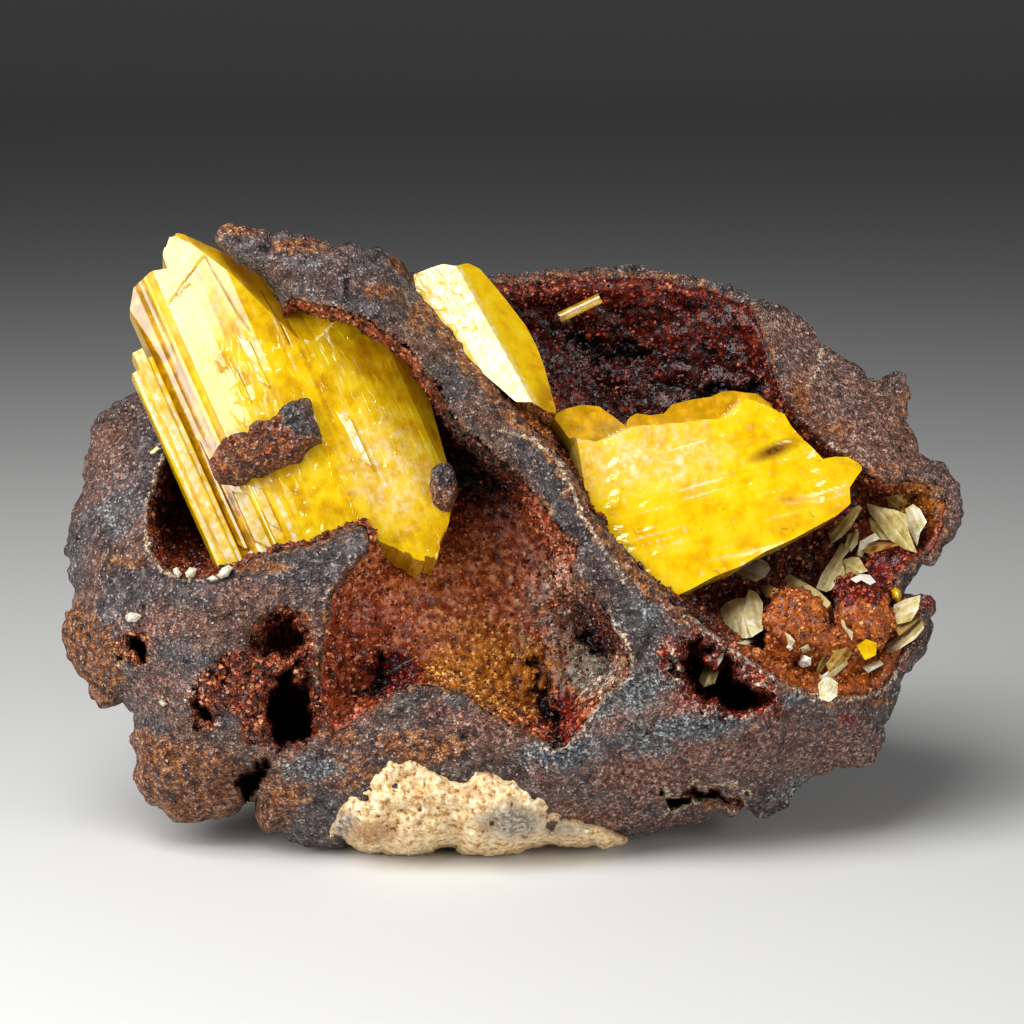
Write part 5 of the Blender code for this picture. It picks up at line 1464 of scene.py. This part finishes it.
def centre_front(x, y):
    """Lower of a left and a right facet, which meet in a ridge, with striations along it."""
    left = plane_depth([(462, 276, 5.5), (530, 398, 10.2), (445, 330, 5.2)], x, y)
    right = plane_depth([(462, 276, 5.5), (530, 398, 10.2), (543, 365, 5.6)], x, y)
    lean = math.atan2(122, 68)
    b = math.sin(lean) * x - math.cos(lean) * y
    a = math.cos(lean) * x + math.sin(lean) * y
    upper = smooth_step((345 - y) / 20)
    left = left + 0.03 * striations(b, (2.0, 9.0), 120) + 0.04 * flat_noise(b, a / 3, 9.0, 121)
    left = left + upper * 0.10 * facets(b, a / 1.6, 7.0, 124)
    right = right + 0.03 * striations(b, (3.0, 12.0), 122)
    return place(x, y, np.minimum(left, right))


def centre_back(x, y):
    """Six millimetres behind the ridge."""
    return place(x, y, plane_depth([(462, 276, -1.5), (530, 398, 2.5), (445, 330, -1.5)], x, y))


def centre_painted_highlight(x, y):
    """Painted highlight: the left face near white, veined with yellow in its upper part."""
    left = smooth_step((0.565 * (y - 276) - (x - 466)) / 5 + 0.5)
    vein = np.abs(flat_noise(x, y * 0.8, 8.0, 123)) + 0.5 * np.abs(flat_noise(x, y, 4.0, 125))
    upper = smooth_step((345 - y) / 20)
    return left * (0.75 - 0.6 * upper * held(1.1 - vein / 0.22))


def centre_amber(x, y):
    """Olive at the lower left edge and at the foot of the right face."""
    foot = held(1.3 - np.hypot((x - 548) / 16, (y - 398) / 26))
    return np.maximum(0.8 * foot, held(0.7 - (x - 413) / 50) * 0.6)


face_relief("legrandite_centre_crystal", CENTRE_OUTLINE, 1.6, centre_front, centre_back,
            "legrandite_centre", LEGRANDITE_MILKY,
            pale=centre_painted_highlight, amber=centre_amber, crack=lambda x, y: 0 * x)

# %% The plate's outline and layers
PLATE_FACE = face_plane([(590, 430, 7), (672, 598, 9.5), (850, 480, 3)])
PLATE_OUTLINE = [
    (556, 411), (570, 404), (586, 400), (603, 402), (616, 411), (630, 422), (632, 414), (640, 409),
    (655, 411), (668, 409), (676, 400), (695, 395), (715, 392), (726, 387), (738, 386), (750, 388),
    (761, 389), (775, 400), (784, 414), (791, 426), (808, 446), (822, 460), (835, 457), (848, 457),
    (858, 463), (862, 469), (855, 478), (848, 489), (849, 505), (836, 516), (814, 528), (790, 541),
    (765, 552), (740, 567), (712, 578), (690, 590), (672, 598), (662, 595), (655, 585), (636, 565),
    (620, 545), (603, 525), (589, 505), (584, 484), (581, 462), (577, 440)]
PLATE_LAYERS = [  # outline and rise in millimetres
    ([(540, 430), (600, 440), (635, 425), (672, 422), (725, 416), (748, 396), (800, 420),
     (870, 450), (880, 560), (700, 640), (560, 560)], 1.7),
    ([(610, 434), (635, 426), (672, 423), (725, 417), (800, 440), (880, 480), (860, 560),
     (712, 605), (672, 620), (612, 520)], 0.35),
    ([(640, 500), (700, 470), (880, 466), (870, 560), (720, 605), (665, 600)], 0.15),
    ([(700, 430), (740, 405), (810, 450), (820, 500), (760, 500)], 0.12)]
# Painted glints: spots where the striation lines are painted pale.
PLATE_PAINTED_GLINTS = [
    (650, 494, 24, 10, 0.9), (655, 538, 26, 14, 0.9), (742, 558, 28, 16, 1.0),
    (768, 488, 18, 14, 0.7), (610, 425, 24, 16, 0.5), (812, 470, 20, 14, 0.6),
    (690, 460, 40, 26, 0.4), (640, 508, 30, 6, 0.8), (838, 500, 10, 14, 0.7),
    (800, 528, 26, 6, 0.5)]
PLATE_LEAN = -16    # degrees that its striations run down from level: they run up to the right
print(len(PLATE_LAYERS), "layers")


# %% The plate's depth and zones
def turned(x, y, degrees):
    """Distances along and across a way that runs some degrees down from level."""
    way = math.radians(degrees)
    return (math.cos(way) * x + math.sin(way) * y, -math.sin(way) * x + math.cos(way) * y)


def plate_front(x, y):
    """Stepped layers, with striations running up to the right."""
    s, t = turned(x, y, PLATE_LEAN)
    level = np.full(x.shape, -1.7)
    for outline, rise in PLATE_LAYERS:
        ring = np.array(outline, float)
        shift = 5 * flat_noise(s / 6, t, 5.0, 130)
        width = 4.0 if rise > 1 else 12.0
        level += rise * smooth_step(inside_distance(ring, x + shift, y) / width + 0.5)
    fade = held(0.4 + 0.9 * flat_noise(s / 5, t, 12.0, 131))
    level = level + 0.05 * striations(t, (2.0, 6.0), 132) * fade
    level = level + 0.06 * striations(t, (10.0, 30.0), 133) + 0.10 * flat_noise(x, y, 60.0, 134)
    return on_plane(PLATE_FACE, x, y, level)


def plate_back(x, y):
    """Four millimetres behind the face."""
    return on_plane(PLATE_FACE, x, y, np.full(x.shape, -4.0))


def plate_pale_and_glints(x, y):
    """Paler, waxy patch at the upper left with clouds, clusters of lines painted pale as glints,
    and flecks.
    """
    patch = 0.72 - np.hypot((x - 640) / 75, (y - 455) / 34) * 0.45
    patch = patch + 0.15 * flat_noise(x, y, 25.0, 135)
    t = turned(x, y, PLATE_LEAN)[1]
    lines = striations(t, (1.2, 3.0), 136) * 1.6 - 0.2 + 0.8 * flat_noise(x / 16, t, 5.0, 137)
    lines = smooth_step(lines) * spots_of(PLATE_PAINTED_GLINTS, x, y)
    flecks = flat_noise(x, y, 7.0, 138) + 0.6 * flat_noise(x, y, 3.5, 139) - 0.6
    return held(np.maximum(patch, lines)) + 0.5 * held(flecks)


def plate_amber(x, y):
    """Darker on the rear layer along the top, at the lower left edge and at the right end."""
    front = inside_distance(np.array(PLATE_LAYERS[0][0], float), x, y)
    rear = held(0.5 - front / 6) * 0.7
    lower_edge = [(581, 440), (590, 500), (640, 566), (672, 596)]
    edge = held(0.5 - line_distance(lower_edge, x, y) / 30) * 0.7
    right = 0.3 * held((x - 780) / 60)
    return held(np.maximum.reduce([rear, edge, right]))


def plate_stain(x, y):
    """Red-brown inclusion at the right, and fine dark cracks."""
    stain = 1.1 - np.hypot((x - 772) / 20, (y - 452 + 0.35 * (x - 772)) / 7) * 0.6
    crack = np.abs(flat_noise(x, y, 34.0, 140)) / 0.02 + 2.0 * (flat_noise(x, y, 16.0, 141) < 0.25)
    return held(np.maximum(stain, 0.5 * held(1.2 - crack)))


face_relief("legrandite_plate_crystal", PLATE_OUTLINE, 2.0, plate_front, plate_back,
            "legrandite_plate", LEGRANDITE_MILKY, pale=plate_pale_and_glints, amber=plate_amber,
            crack=plate_stain)

# %% [markdown]
# ## The small rod
# A slim, striated prism lies on the back wall. One cross section is repeated between its two ends,
# and its ends are a little broken. A cylinder would be too round, because the real one has edges.


# %% Rings of points
def ring_bands(rings, count):
    """Point numbers of rings of points, the numbers one step ahead, and triangles between rings."""
    index = np.arange(rings * count).reshape(rings, count)
    ahead = np.roll(index, -1, axis=1)
    bands = np.stack([index[:-1], ahead[:-1], ahead[1:], index[1:]], axis=-1).reshape(-1, 4)
    return index, ahead, np.concatenate([bands[:, [0, 1, 2]], bands[:, [0, 2, 3]]])


def facing_of(points, tris):
    """Cross product of two sides of each triangle: which way it faces, times twice its area."""
    corner = points[tris]
    return np.cross(corner[:, 1] - corner[:, 0], corner[:, 2] - corner[:, 0])


print("triangles between two rings of ten points:", len(ring_bands(2, 10)[2]))

# %% The rod on the back wall
ROD_RINGS = 12
ROD_ENDS = [(560, 317.5, -6.6), (600, 298.5, -6.3)]
ROD_SECTION = [(-5.5, -3), (-5, 0), (-3, 1.8), (-0.6, 3.2), (0, 2.6), (0.6, 3.2), (3.2, 2.0),
               (5, 0.2), (5.5, -3), (0, -5)]   # pixels: down across the rod, and toward the eye


def make_rod():
    """Striated rod: one cross section at both ends, each end closed by a fan to its middle."""
    down, out = np.array(ROD_SECTION).T
    count = len(down)
    rows = []
    for share in np.linspace(0, 1, ROD_RINGS):
        x, y, depth = (1 - share) * np.array(ROD_ENDS[0]) + share * np.array(ROD_ENDS[1])
        at_end = share in (0.0, 1.0)
        slip = 1.2 * at_end * scrambled(np.arange(count)[:, None], 145 + int(share))
        rows.append(place(x + 0.43 * down + slip, y + 0.9 * down - 0.5 * slip, depth + 0.1 * out))
    points = np.concatenate(rows + [rows[0].mean(axis=0)[None], rows[-1].mean(axis=0)[None]])
    index, ahead, bands = ring_bands(ROD_RINGS, count)
    hub = np.full(count, ROD_RINGS * count)
    tris = np.concatenate([bands, np.column_stack([ahead[0], index[0], hub]),
                           np.column_stack([index[-1], ahead[-1], hub + 1])])
    outward = points[tris].mean(axis=1) - points.mean(axis=0)
    if (facing_of(points, tris) * outward).sum() < 0:
        tris = tris[:, ::-1]
    # Painted light: the lower faces are painted pale as lit, and the upper faces darker amber.
    upper = np.tile(np.where(down < 0.3, 0.75, 0.0), ROD_RINGS)
    lit = np.tile(np.where((down > 0.3) & (down < 5), 0.7, 0.0), ROD_RINGS)
    stained = np.repeat(np.arange(ROD_RINGS) < 2, count) * 0.5
    new_piece("legrandite_rod_crystal", points, tris, LEGRANDITE, "legrandite", ["legrandite_rod"],
              False, amber=padded(upper, len(points)), pale=padded(lit, len(points)),
              crack=padded(stained, len(points)))


make_rod()

# %% [markdown]
# ## Bits of gossan on the large crystal
# Two crumbs of the rock are stuck on the crystal. They are lens shapes: rings drawn in from an
# outline to its middle, raised in front and flat behind. That keeps a free outline sharp, and the
# cream blades further down are made in the same way.


# %% Lens shapes
def lens(outline, rings, front_of, back_of, rounds=2):
    """Rings shrunk toward the outline's middle, closed by a pole in front and one behind.
    A point = middle + share (outline - middle), for shares from 1 to 0."""
    ring = dense(rounded(outline, rounds), 3.0)
    middle = ring.mean(axis=0)
    share = np.sqrt(np.linspace(1, 0, rings + 1))[:-1]
    flat = middle + share[:, None, None] * (ring - middle)
    count = len(ring)
    x = np.append(flat[..., 0].ravel(), middle[0])
    y = np.append(flat[..., 1].ravel(), middle[1])
    inside = np.append(np.repeat(1 - share, count), 1.0)
    fore, rear = front_of(x, y, inside), back_of(x, y, inside)
    index, ahead, bands = ring_bands(rings, count)
    pole = rings * count
    tip = np.column_stack([index[-1], ahead[-1], np.full(count, pole)])
    tris = np.concatenate([bands, tip])
    total = pole + 1
    partner = np.arange(total) + total
    wall = np.column_stack([index[0], index[0] + total, ahead[0] + total, ahead[0]])
    wall = np.concatenate([wall[:, [0, 1, 2]], wall[:, [0, 2, 3]]])
    faces = np.concatenate([tris, partner[tris][:, ::-1], wall])
    points = np.concatenate([fore, rear])
    if facing_of(fore, tris).sum(axis=0) @ NEAR < 0:
        faces = faces[:, ::-1]
    return points, faces, np.tile(x, 2), np.tile(y, 2)


print(lens.__name__, "is ready")

# %% Bits of gossan
CHIPS = {  # outline, foot and top in millimetres off the crystal's face, middle of the grey part
    "chip_on_face": ([(210, 457), (224, 439), (245, 440), (250, 425), (272, 418), (285, 405),
        (307, 396), (313, 400), (321, 443), (315, 450), (290, 467), (255, 478), (229, 487),
        (215, 480)], 0.2, 2.4, (304, 420), 24),
    "chip_on_edge": ([(428, 478), (434, 464), (445, 461), (455, 468), (460, 480), (459, 494),
        (447, 512), (432, 504)], -1.2, 1.6, (444, 476), 14)}


def make_chips():
    """Lumpy mounds on the crystal's face."""
    for name, (outline, foot, top, grey, reach) in CHIPS.items():
        def front(x, y, inside):
            rise = edge_rise(inside, 0.35)
            level = foot + (top - foot) * rise * (0.75 + 0.25 * inside)
            level += rise * (0.6 * lumps(x, y, 11.0, 140) + 0.3 * lumps(x, y, 5.0, 141) - 0.5)
            return on_plane(LARGE_FACE, x, y, level)

        def back(x, y, inside):
            return on_plane(LARGE_FACE, x, y, np.full(x.shape, foot - 0.5))

        ring = dense(rounded(outline, 1))
        ring = np.stack(ragged(ring[:, 0], ring[:, 1], 143, 1.1), axis=1)
        points, faces, x, y = lens(ring, 16, front, back, 0)
        red = held(0.5 + (np.hypot(x - grey[0], y - grey[1]) - reach) / 12)
        new_piece(name + "_rock", points, faces, GOSSAN, "goethite_chip", [name],
                  rusty=0.62 * red, druse=0.58 * red + 0.25 * flat_noise(x, y, 9.0, 142) * red)


make_chips()

# %% [markdown]
# ## Cream blades
# Smithsonite, a zinc carbonate, grew here as thin blades that stand like fans. Each is a lens on
# the plane through its corners, domed in front and ribbed. Flat cards would catch the light all
# at once, while a dome makes it run over the blade.

# %% Outlines of the larger blades
BLADE_LIFT = 1.2    # millimetres toward the eye, so that no blade sinks into the crust
BLADES = {  # corners with depths, way that the ribs run in degrees down from level, bulge, tint
    "upper": ([(866, 503, -3), (879, 507, -1), (894, 509.5, 1), (906, 514, 2), (909, 532, 3),
        (917, 553, 4), (904, 549, 3), (890, 540, 0), (879, 525, -1.5), (870, 514, -2.8)], 50, 0.3,
        0.5),
    "left": ([(829, 532, -3.3), (842, 519, -2), (852, 509, -1), (859, 505, -0.3), (862, 508, 0),
        (856, 518, -0.5), (851, 528, -1.5), (842, 537, -2.4), (831, 544, -3)], -48, 0.5, 0.42),
    "tan": ([(861, 551, -1.5), (872, 542.5, -1.5), (886, 541.5, 0), (899, 545, 2), (886, 549, 1.5),
        (870, 554, 0)], -4, 0.4, 0.12),
    "middle": ([(842, 560, -1.8), (852, 557, -0.5), (859, 557, 0.5), (864, 566, 1.5), (868, 571, 2),
        (861, 573, 1.6), (852, 577, 1), (845, 577, 0)], 30, 0.3, 0.6),
    "lower": ([(841, 543, -3), (847, 544, -2.5), (849, 551, -2), (842, 560, -1.5), (845, 573, 0),
        (838, 587, 1.8), (826, 592, 1.5), (816, 588, 0), (822, 573, -1.5), (833, 557, -2.8)], -62,
        0.35, 0.68),
    "wedge": ([(788, 573, -3), (804, 582, 1.4), (819, 591, 5), (831, 603, 8), (827, 608, 8),
        (815, 599, 5.5), (804, 595, 3), (790, 597, 2), (785, 590, 0)], 36, 0.3, 0.55),
    "disc": ([(735, 572, -3.8), (749, 564, -3.6), (761, 558.5, -2.6), (768.5, 564, -1.5),
        (770.5, 569, -0.6), (765, 577, 0.4), (756, 582, 0.8), (745, 578, -1)], 20, 0.5, 0.72),
    "cup": ([(714, 621, 2), (720, 609, 1), (727, 602, 0), (737, 598, 0.4), (745, 598, 1),
        (749, 589, 1), (757, 593, 2), (763, 603, 4), (762, 618, 5), (763, 630, 6), (752, 637, 6.4),
        (740, 639, 6.2), (734, 633, 5), (724, 628, 3.4)], 76, 2.2, 0.62),
    "right": ([(893.5, 605, 4.3), (904, 599.5, 5.4), (920.5, 595, 7), (918.5, 609, 7.4),
        (911, 621, 7.6), (897, 624.5, 6.5), (894, 614, 5)], -20, 0.4, 0.66),
    "fan": ([(884, 652, 2.6), (888, 644, 2.8), (901, 634, 3.8), (911, 623, 5), (922, 617.5, 6),
        (924, 628, 7), (915, 639, 7), (901, 648, 6), (892, 653, 5)], -40, 0.6, 0.66),
    "front": ([(826, 664, 9.3), (835, 651, 8.5), (847, 647, 7), (852, 652, 7.2), (847, 661, 8.6),
        (836, 668, 9.8), (829, 673, 10.5)], -50, 0.5, 0.22),
    "foot": ([(820, 698, 12), (818, 684, 10.8), (824, 677, 10.2), (832, 678, 10.4), (838, 683, 11),
        (837, 696, 12.3), (829, 702, 12.6)], -60, 0.8, 0.72),
    "pocket": ([(698, 680, 7.5), (704, 667, 6.5), (712, 664, 7), (719, 672, 8.4), (715, 683, 9.4),
        (704, 687, 9.3)], -70, 1.4, 0.45)}
print(len(BLADES), "larger blades")

# %% Outlines of the small blades
EXTRA_BLADES = [  # outline, way of the ribs, bulge, tint, lift off the crust in millimetres
    ([(886, 497), (899, 494), (908, 503), (899, 510), (888, 506)], 40, 0.3, 0.15, 0.4),
    ([(905, 509), (913, 504), (920, 509), (927, 522), (920, 533), (917, 546), (909, 530)], 70, 0.3,
     0.68, 2.6),
    ([(857, 555), (860, 541), (875, 533), (880, 539), (869, 544), (862, 557)], -50, 0.3, 0.7, 0.9),
    ([(847, 534), (859, 531), (858, 543), (851, 552), (845, 545)], -70, 0.3, 0.5, 0.8),
    ([(869, 518), (880, 524), (890, 540), (880, 540), (871, 530)], 50, 0.3, 0.3, 0.7),
    ([(850, 579), (861, 573.5), (870, 575), (876, 582), (870, 585), (861, 580), (856, 583)], 10,
     0.3, 1.2, 1.6),
    ([(755, 585), (769, 585), (785, 592), (779, 595), (766, 598)], 30, 0.3, 0.2, 1.6),
    ([(895, 628), (912, 617), (920, 618), (910, 628), (899, 636)], -38, 0.3, 0.1, 3.0),
    ([(815, 677), (819, 662), (828, 651), (826, 664), (820, 674)], -60, 0.3, 0.15, 1.0),
    ([(819, 678), (831, 669), (846, 658), (848, 664), (836, 675), (825, 681)], -45, 0.4, 0.75, 1.4),
    ([(736, 643), (749, 639), (756, 640.5), (746, 645)], -15, 0.3, 0.7, 1.4),
    ([(712, 658), (717, 644), (725, 651), (722, 660), (718, 666)], -70, 0.4, 0.8, 0.8),
    ([(797, 660), (804, 655), (811, 658), (811, 665), (803, 668), (798, 665)], 20, 0.9, 0.95, 0.8),
    ([(786, 647), (790, 644), (793, 648), (790, 651)], 20, 0.5, 1.1, 0.6),
    ([(784.6, 632), (790, 635), (795.5, 641.5), (790, 649)], 60, 0.3, 0.75, 0.6),
    ([(841, 619), (844, 621), (846, 627), (853, 632), (852, 641), (847, 633), (842, 626)], 60, 0.3,
     0.7, 0.5),
    ([(862, 667), (880, 660), (884, 664), (868, 673)], -25, 0.3, 0.75, 1.0),
    ([(800, 648), (808, 644), (811, 650), (803, 653)], -30, 0.3, 0.6, 0.5)]
print(len(EXTRA_BLADES), "small blades")


# %% Smithsonite material
def make_blade_finish():
    """Pearly, from orange-brown through olive and cream to white, with growth bands and ribs.
    Thin grown blades let a little light through, which gives the eye a soft, waxy edge."""
    material, shader = new_material("smithsonite blades, cream and pearly")
    where = add(material, "ShaderNodeTexCoord").outputs["Object"]
    band = add(material, "ShaderNodeTexNoise",
               {"Scale": 1 / (0.8 * MM), "Detail": 5.0, "Roughness": 0.6}, Vector=where)
    shift = add(material, "ShaderNodeMath",
                {"operation": "MULTIPLY_ADD", "Value 2": 0.9, "Value 3": -0.45}, Value=band)
    tint = add(material, "ShaderNodeAttribute", {"attribute_name": "tint"}).outputs["Fac"]
    rib = add(material, "ShaderNodeAttribute", {"attribute_name": "rib"}).outputs["Fac"]
    both = add(material, "ShaderNodeMath", {"operation": "ADD"}, Value=tint, Value_2=rib)
    value = add(material, "ShaderNodeMath", {"operation": "ADD"}, Value=both, Value_2=shift)
    colour = add(material, "ShaderNodeValToRGB", {"stops": [
        (0.0, "#5A3A12"), (0.15, "#9A6A26"), (0.35, "#A08B4A"), (0.6, "#C4B47C"), (0.8, "#D5CCAE"),
        (1.0, "#F2EEE2")]}, Fac=value)
    bump = add(material, "ShaderNodeBump", {"Strength": 0.35, "Distance": 0.12 * MM}, Height=band)
    # Smithsonite's lower index is 1.62.
    set_up(material, shader, {"Roughness": 0.38, "IOR": 1.62, "Transmission Weight": 0.1},
           Base_Color=colour, Normal=bump)
    return material


BLADE_FINISH = make_blade_finish()
print(BLADE_FINISH.name)


# %% Build the blades
def make_blade(name, corners, lean, bulge, tint, finish, seed, replaces=()):
    """Thin lens on the plane through its corners, domed and ribbed."""
    knots = np.array([[x, y, 1.0] for x, y, _ in corners])
    fit = np.linalg.lstsq(knots, np.array([depth for *_, depth in corners]), rcond=None)[0]

    def ribs(x, y):
        return striations(turned(x, y, lean)[1], (1.0, 3.0), seed)

    def front(x, y, inside):
        level = fit[0] * x + fit[1] * y + fit[2] + BLADE_LIFT
        return place(x, y, level + 0.8 * bulge * inside + 0.10 * ribs(x, y))

    def back(x, y, inside):
        level = fit[0] * x + fit[1] * y + fit[2] + BLADE_LIFT
        return place(x, y, level - 0.14 - 0.1 * inside)

    points, faces, x, y = lens([(x, y) for x, y, _ in corners], 12, front, back, 0)
    new_piece(name, points, faces, finish, "cream_blade", replaces, False, rib=0.15 * ribs(x, y),
              tint=np.full(len(x), tint) + 0.12 * flat_noise(x, y, 7.0, seed))


for number, (name, entry) in enumerate(BLADES.items()):
    make_blade("blade_" + name, *entry, BLADE_FINISH, 150 + number, ["cream_blade_" + name])
for number, (outline, lean, bulge, tint, lift) in enumerate(EXTRA_BLADES):
    across, down = np.array(outline, float).T
    depths = back_level(across, down)[0] + lift - BLADE_LIFT
    make_blade(f"small_blade_{number}", list(zip(across, down, depths)), lean, bulge, tint,
               BLADE_FINISH, 170 + number)

# %% [markdown]
# ## Loose bits
# Tiny crystals lie in the left hollow and on the skin, and a green-yellow one stands beside the
# right nodule. They are small mounds with flat facets, all that shows at this size.

# %% Loose bits
WHITE_BITS = {  # outlines in pixels
    "white_bit_left": [(173, 569), (177, 567), (182, 574), (179, 578), (174, 574)],
    "white_bit_middle": [(185, 573), (190, 567), (197, 569), (194, 577), (187, 578)],
    "white_bit_right": [(217, 576), (222, 568), (229, 565), (233, 568), (228, 576), (221, 579)],
    "white_bit_rim": [(206, 579), (213, 575), (219, 579), (212, 582)],
    "cream_speck": [(125, 616), (130, 612), (137, 613), (142, 616), (136, 622), (128, 622)],
    "white_speck": [(158, 702), (162, 700), (168, 704), (163, 707)]}
GREEN_BIT = [(891, 591), (895, 587), (900, 590), (902, 596), (898, 603), (893, 599)]


def make_bit(name, outline, finish, slot, seed):
    """Small faceted mound on the rock's relief."""
    level = np.max(rock_relief(*np.array(outline, float).T)[0])

    def front(x, y, inside):
        rise = 0.3 + 0.9 * np.minimum(inside * 1.6, 1)
        return place(x, y, level + rise + 0.3 * facets(x, y, 5.0, seed))

    def back(x, y, inside):
        return place(x, y, np.full(x.shape, level - 0.8))

    points, faces, x, y = lens(outline, 5, front, back, 0)
    new_piece(name, points, faces, finish, slot, smooth=False, rib=0 * x, tint=0 * x + 0.85)


for number, (name, outline) in enumerate(WHITE_BITS.items()):
    make_bit(name, outline, BLADE_FINISH, "cream_blade", 190 + number)
make_bit("green_yellow_bit", GREEN_BIT, LEGRANDITE, "legrandite", 199)

# %% [markdown]
# ## Floor and light
# The specimen stands on a pale card that curves up behind it, so that no edge shows. A softbox
# above and to the left is seen reflected in the large crystal's upper left, a second one on the
# left lights the facets that lean that way, and the room's own light is low, so that the hollows
# stay dark. A small lamp would leave hard shadows.


# %% Floor
def make_floor():
    """Pale floor that curves up behind: flat, then a quarter circle, then upright."""
    turn = np.linspace(0, math.pi / 2, 24)
    radius, back = 0.8, 2.2
    run = np.concatenate([[-1.2], back + radius * np.sin(turn), [back + radius]])
    height = np.concatenate([[0.0], radius * (1 - np.cos(turn)), [3.0]])
    x = np.array([-4.0, 4.0])
    points = np.array([(side, y, z) for y, z in zip(run, height) for side in x])
    index = np.arange(len(points)).reshape(-1, 2)
    faces = np.stack([index[:-1, 0], index[:-1, 1], index[1:, 1], index[1:, 0]], axis=1)
    mesh = bpy.data.meshes.new("floor")
    mesh.from_pydata(points.tolist(), [], faces.tolist())
    mesh.polygons.foreach_set("use_smooth", np.ones(len(faces), bool))
    material, shader = new_material("pale card")
    set_up(material, shader, {"Base Color": linear("#CFCFCD"), "Roughness": 0.7})
    mesh.materials.append(material)
    floor = bpy.data.objects.new("floor", mesh)
    bpy.context.scene.collection.objects.link(floor)
    print("floor:", len(faces), "faces")


make_floor()

# %% Lights
MIDDLE = (0.0, -0.002, 0.032)    # of the specimen, which all lights are turned toward
SOFTBOXES = [  # name, place, width and height in metres, watts
    ("top softbox", (-0.095, -0.160, 0.318), (0.25, 0.19), 1.2),
    ("left softbox", (-0.24, -0.19, 0.15), (0.20, 0.24), 1.1),
    ("right fill", (0.31, -0.26, 0.11), (0.2, 0.2), 0.8)]


def softbox(name, position, target, size, power):
    """Rectangular area light turned toward a point."""
    light = bpy.data.lights.new(name, "AREA")
    light.shape = "RECTANGLE"
    light.size, light.size_y = size
    light.energy = power
    lamp = bpy.data.objects.new(name, light)
    lamp.location = position
    lamp.rotation_euler = (Vector(target) - Vector(position)).to_track_quat("-Z", "Y").to_euler()
    bpy.context.scene.collection.objects.link(lamp)


for name, position, size, power in SOFTBOXES:
    softbox(name, position, MIDDLE, size, power)
world = bpy.context.scene.world or bpy.data.worlds.new("studio")
bpy.context.scene.world = world
world.use_nodes = True
sky = world.node_tree.nodes.get("Background") or world.node_tree.nodes.new("ShaderNodeBackground")
sky.inputs["Color"].default_value = linear("#C8CAD0")
sky.inputs["Strength"].default_value = 0.09
print(len(SOFTBOXES), "softboxes")

# %% [markdown]
# ## Camera
# It stands where the eye was placed, so every outline falls on its own pixels. A long lens keeps
# the perspective as flat as it is in close-up work.

# %% Camera
CAMERA_DISTANCE = 284.4 * MM     # a 100 mm lens then shows 0.1 mm a pixel at the picture plane
camera = bpy.data.cameras.new("camera")
camera.lens, camera.sensor_width = 100.0, 36.0
camera.clip_start = 0.01
view = bpy.data.objects.new("camera", camera)
view.location = EYE_AXIS + CAMERA_DISTANCE * NEAR
view.rotation_euler = (math.pi / 2 - EYE_ELEVATION, 0, 0)
bpy.context.scene.collection.objects.link(view)
bpy.context.scene.camera = view
# Standard keeps the yellow strong, where the usual transform turns it to a washed-out cream.
bpy.context.scene.view_settings.view_transform = "Standard"
print("camera at", [round(value, 3) for value in view.location])
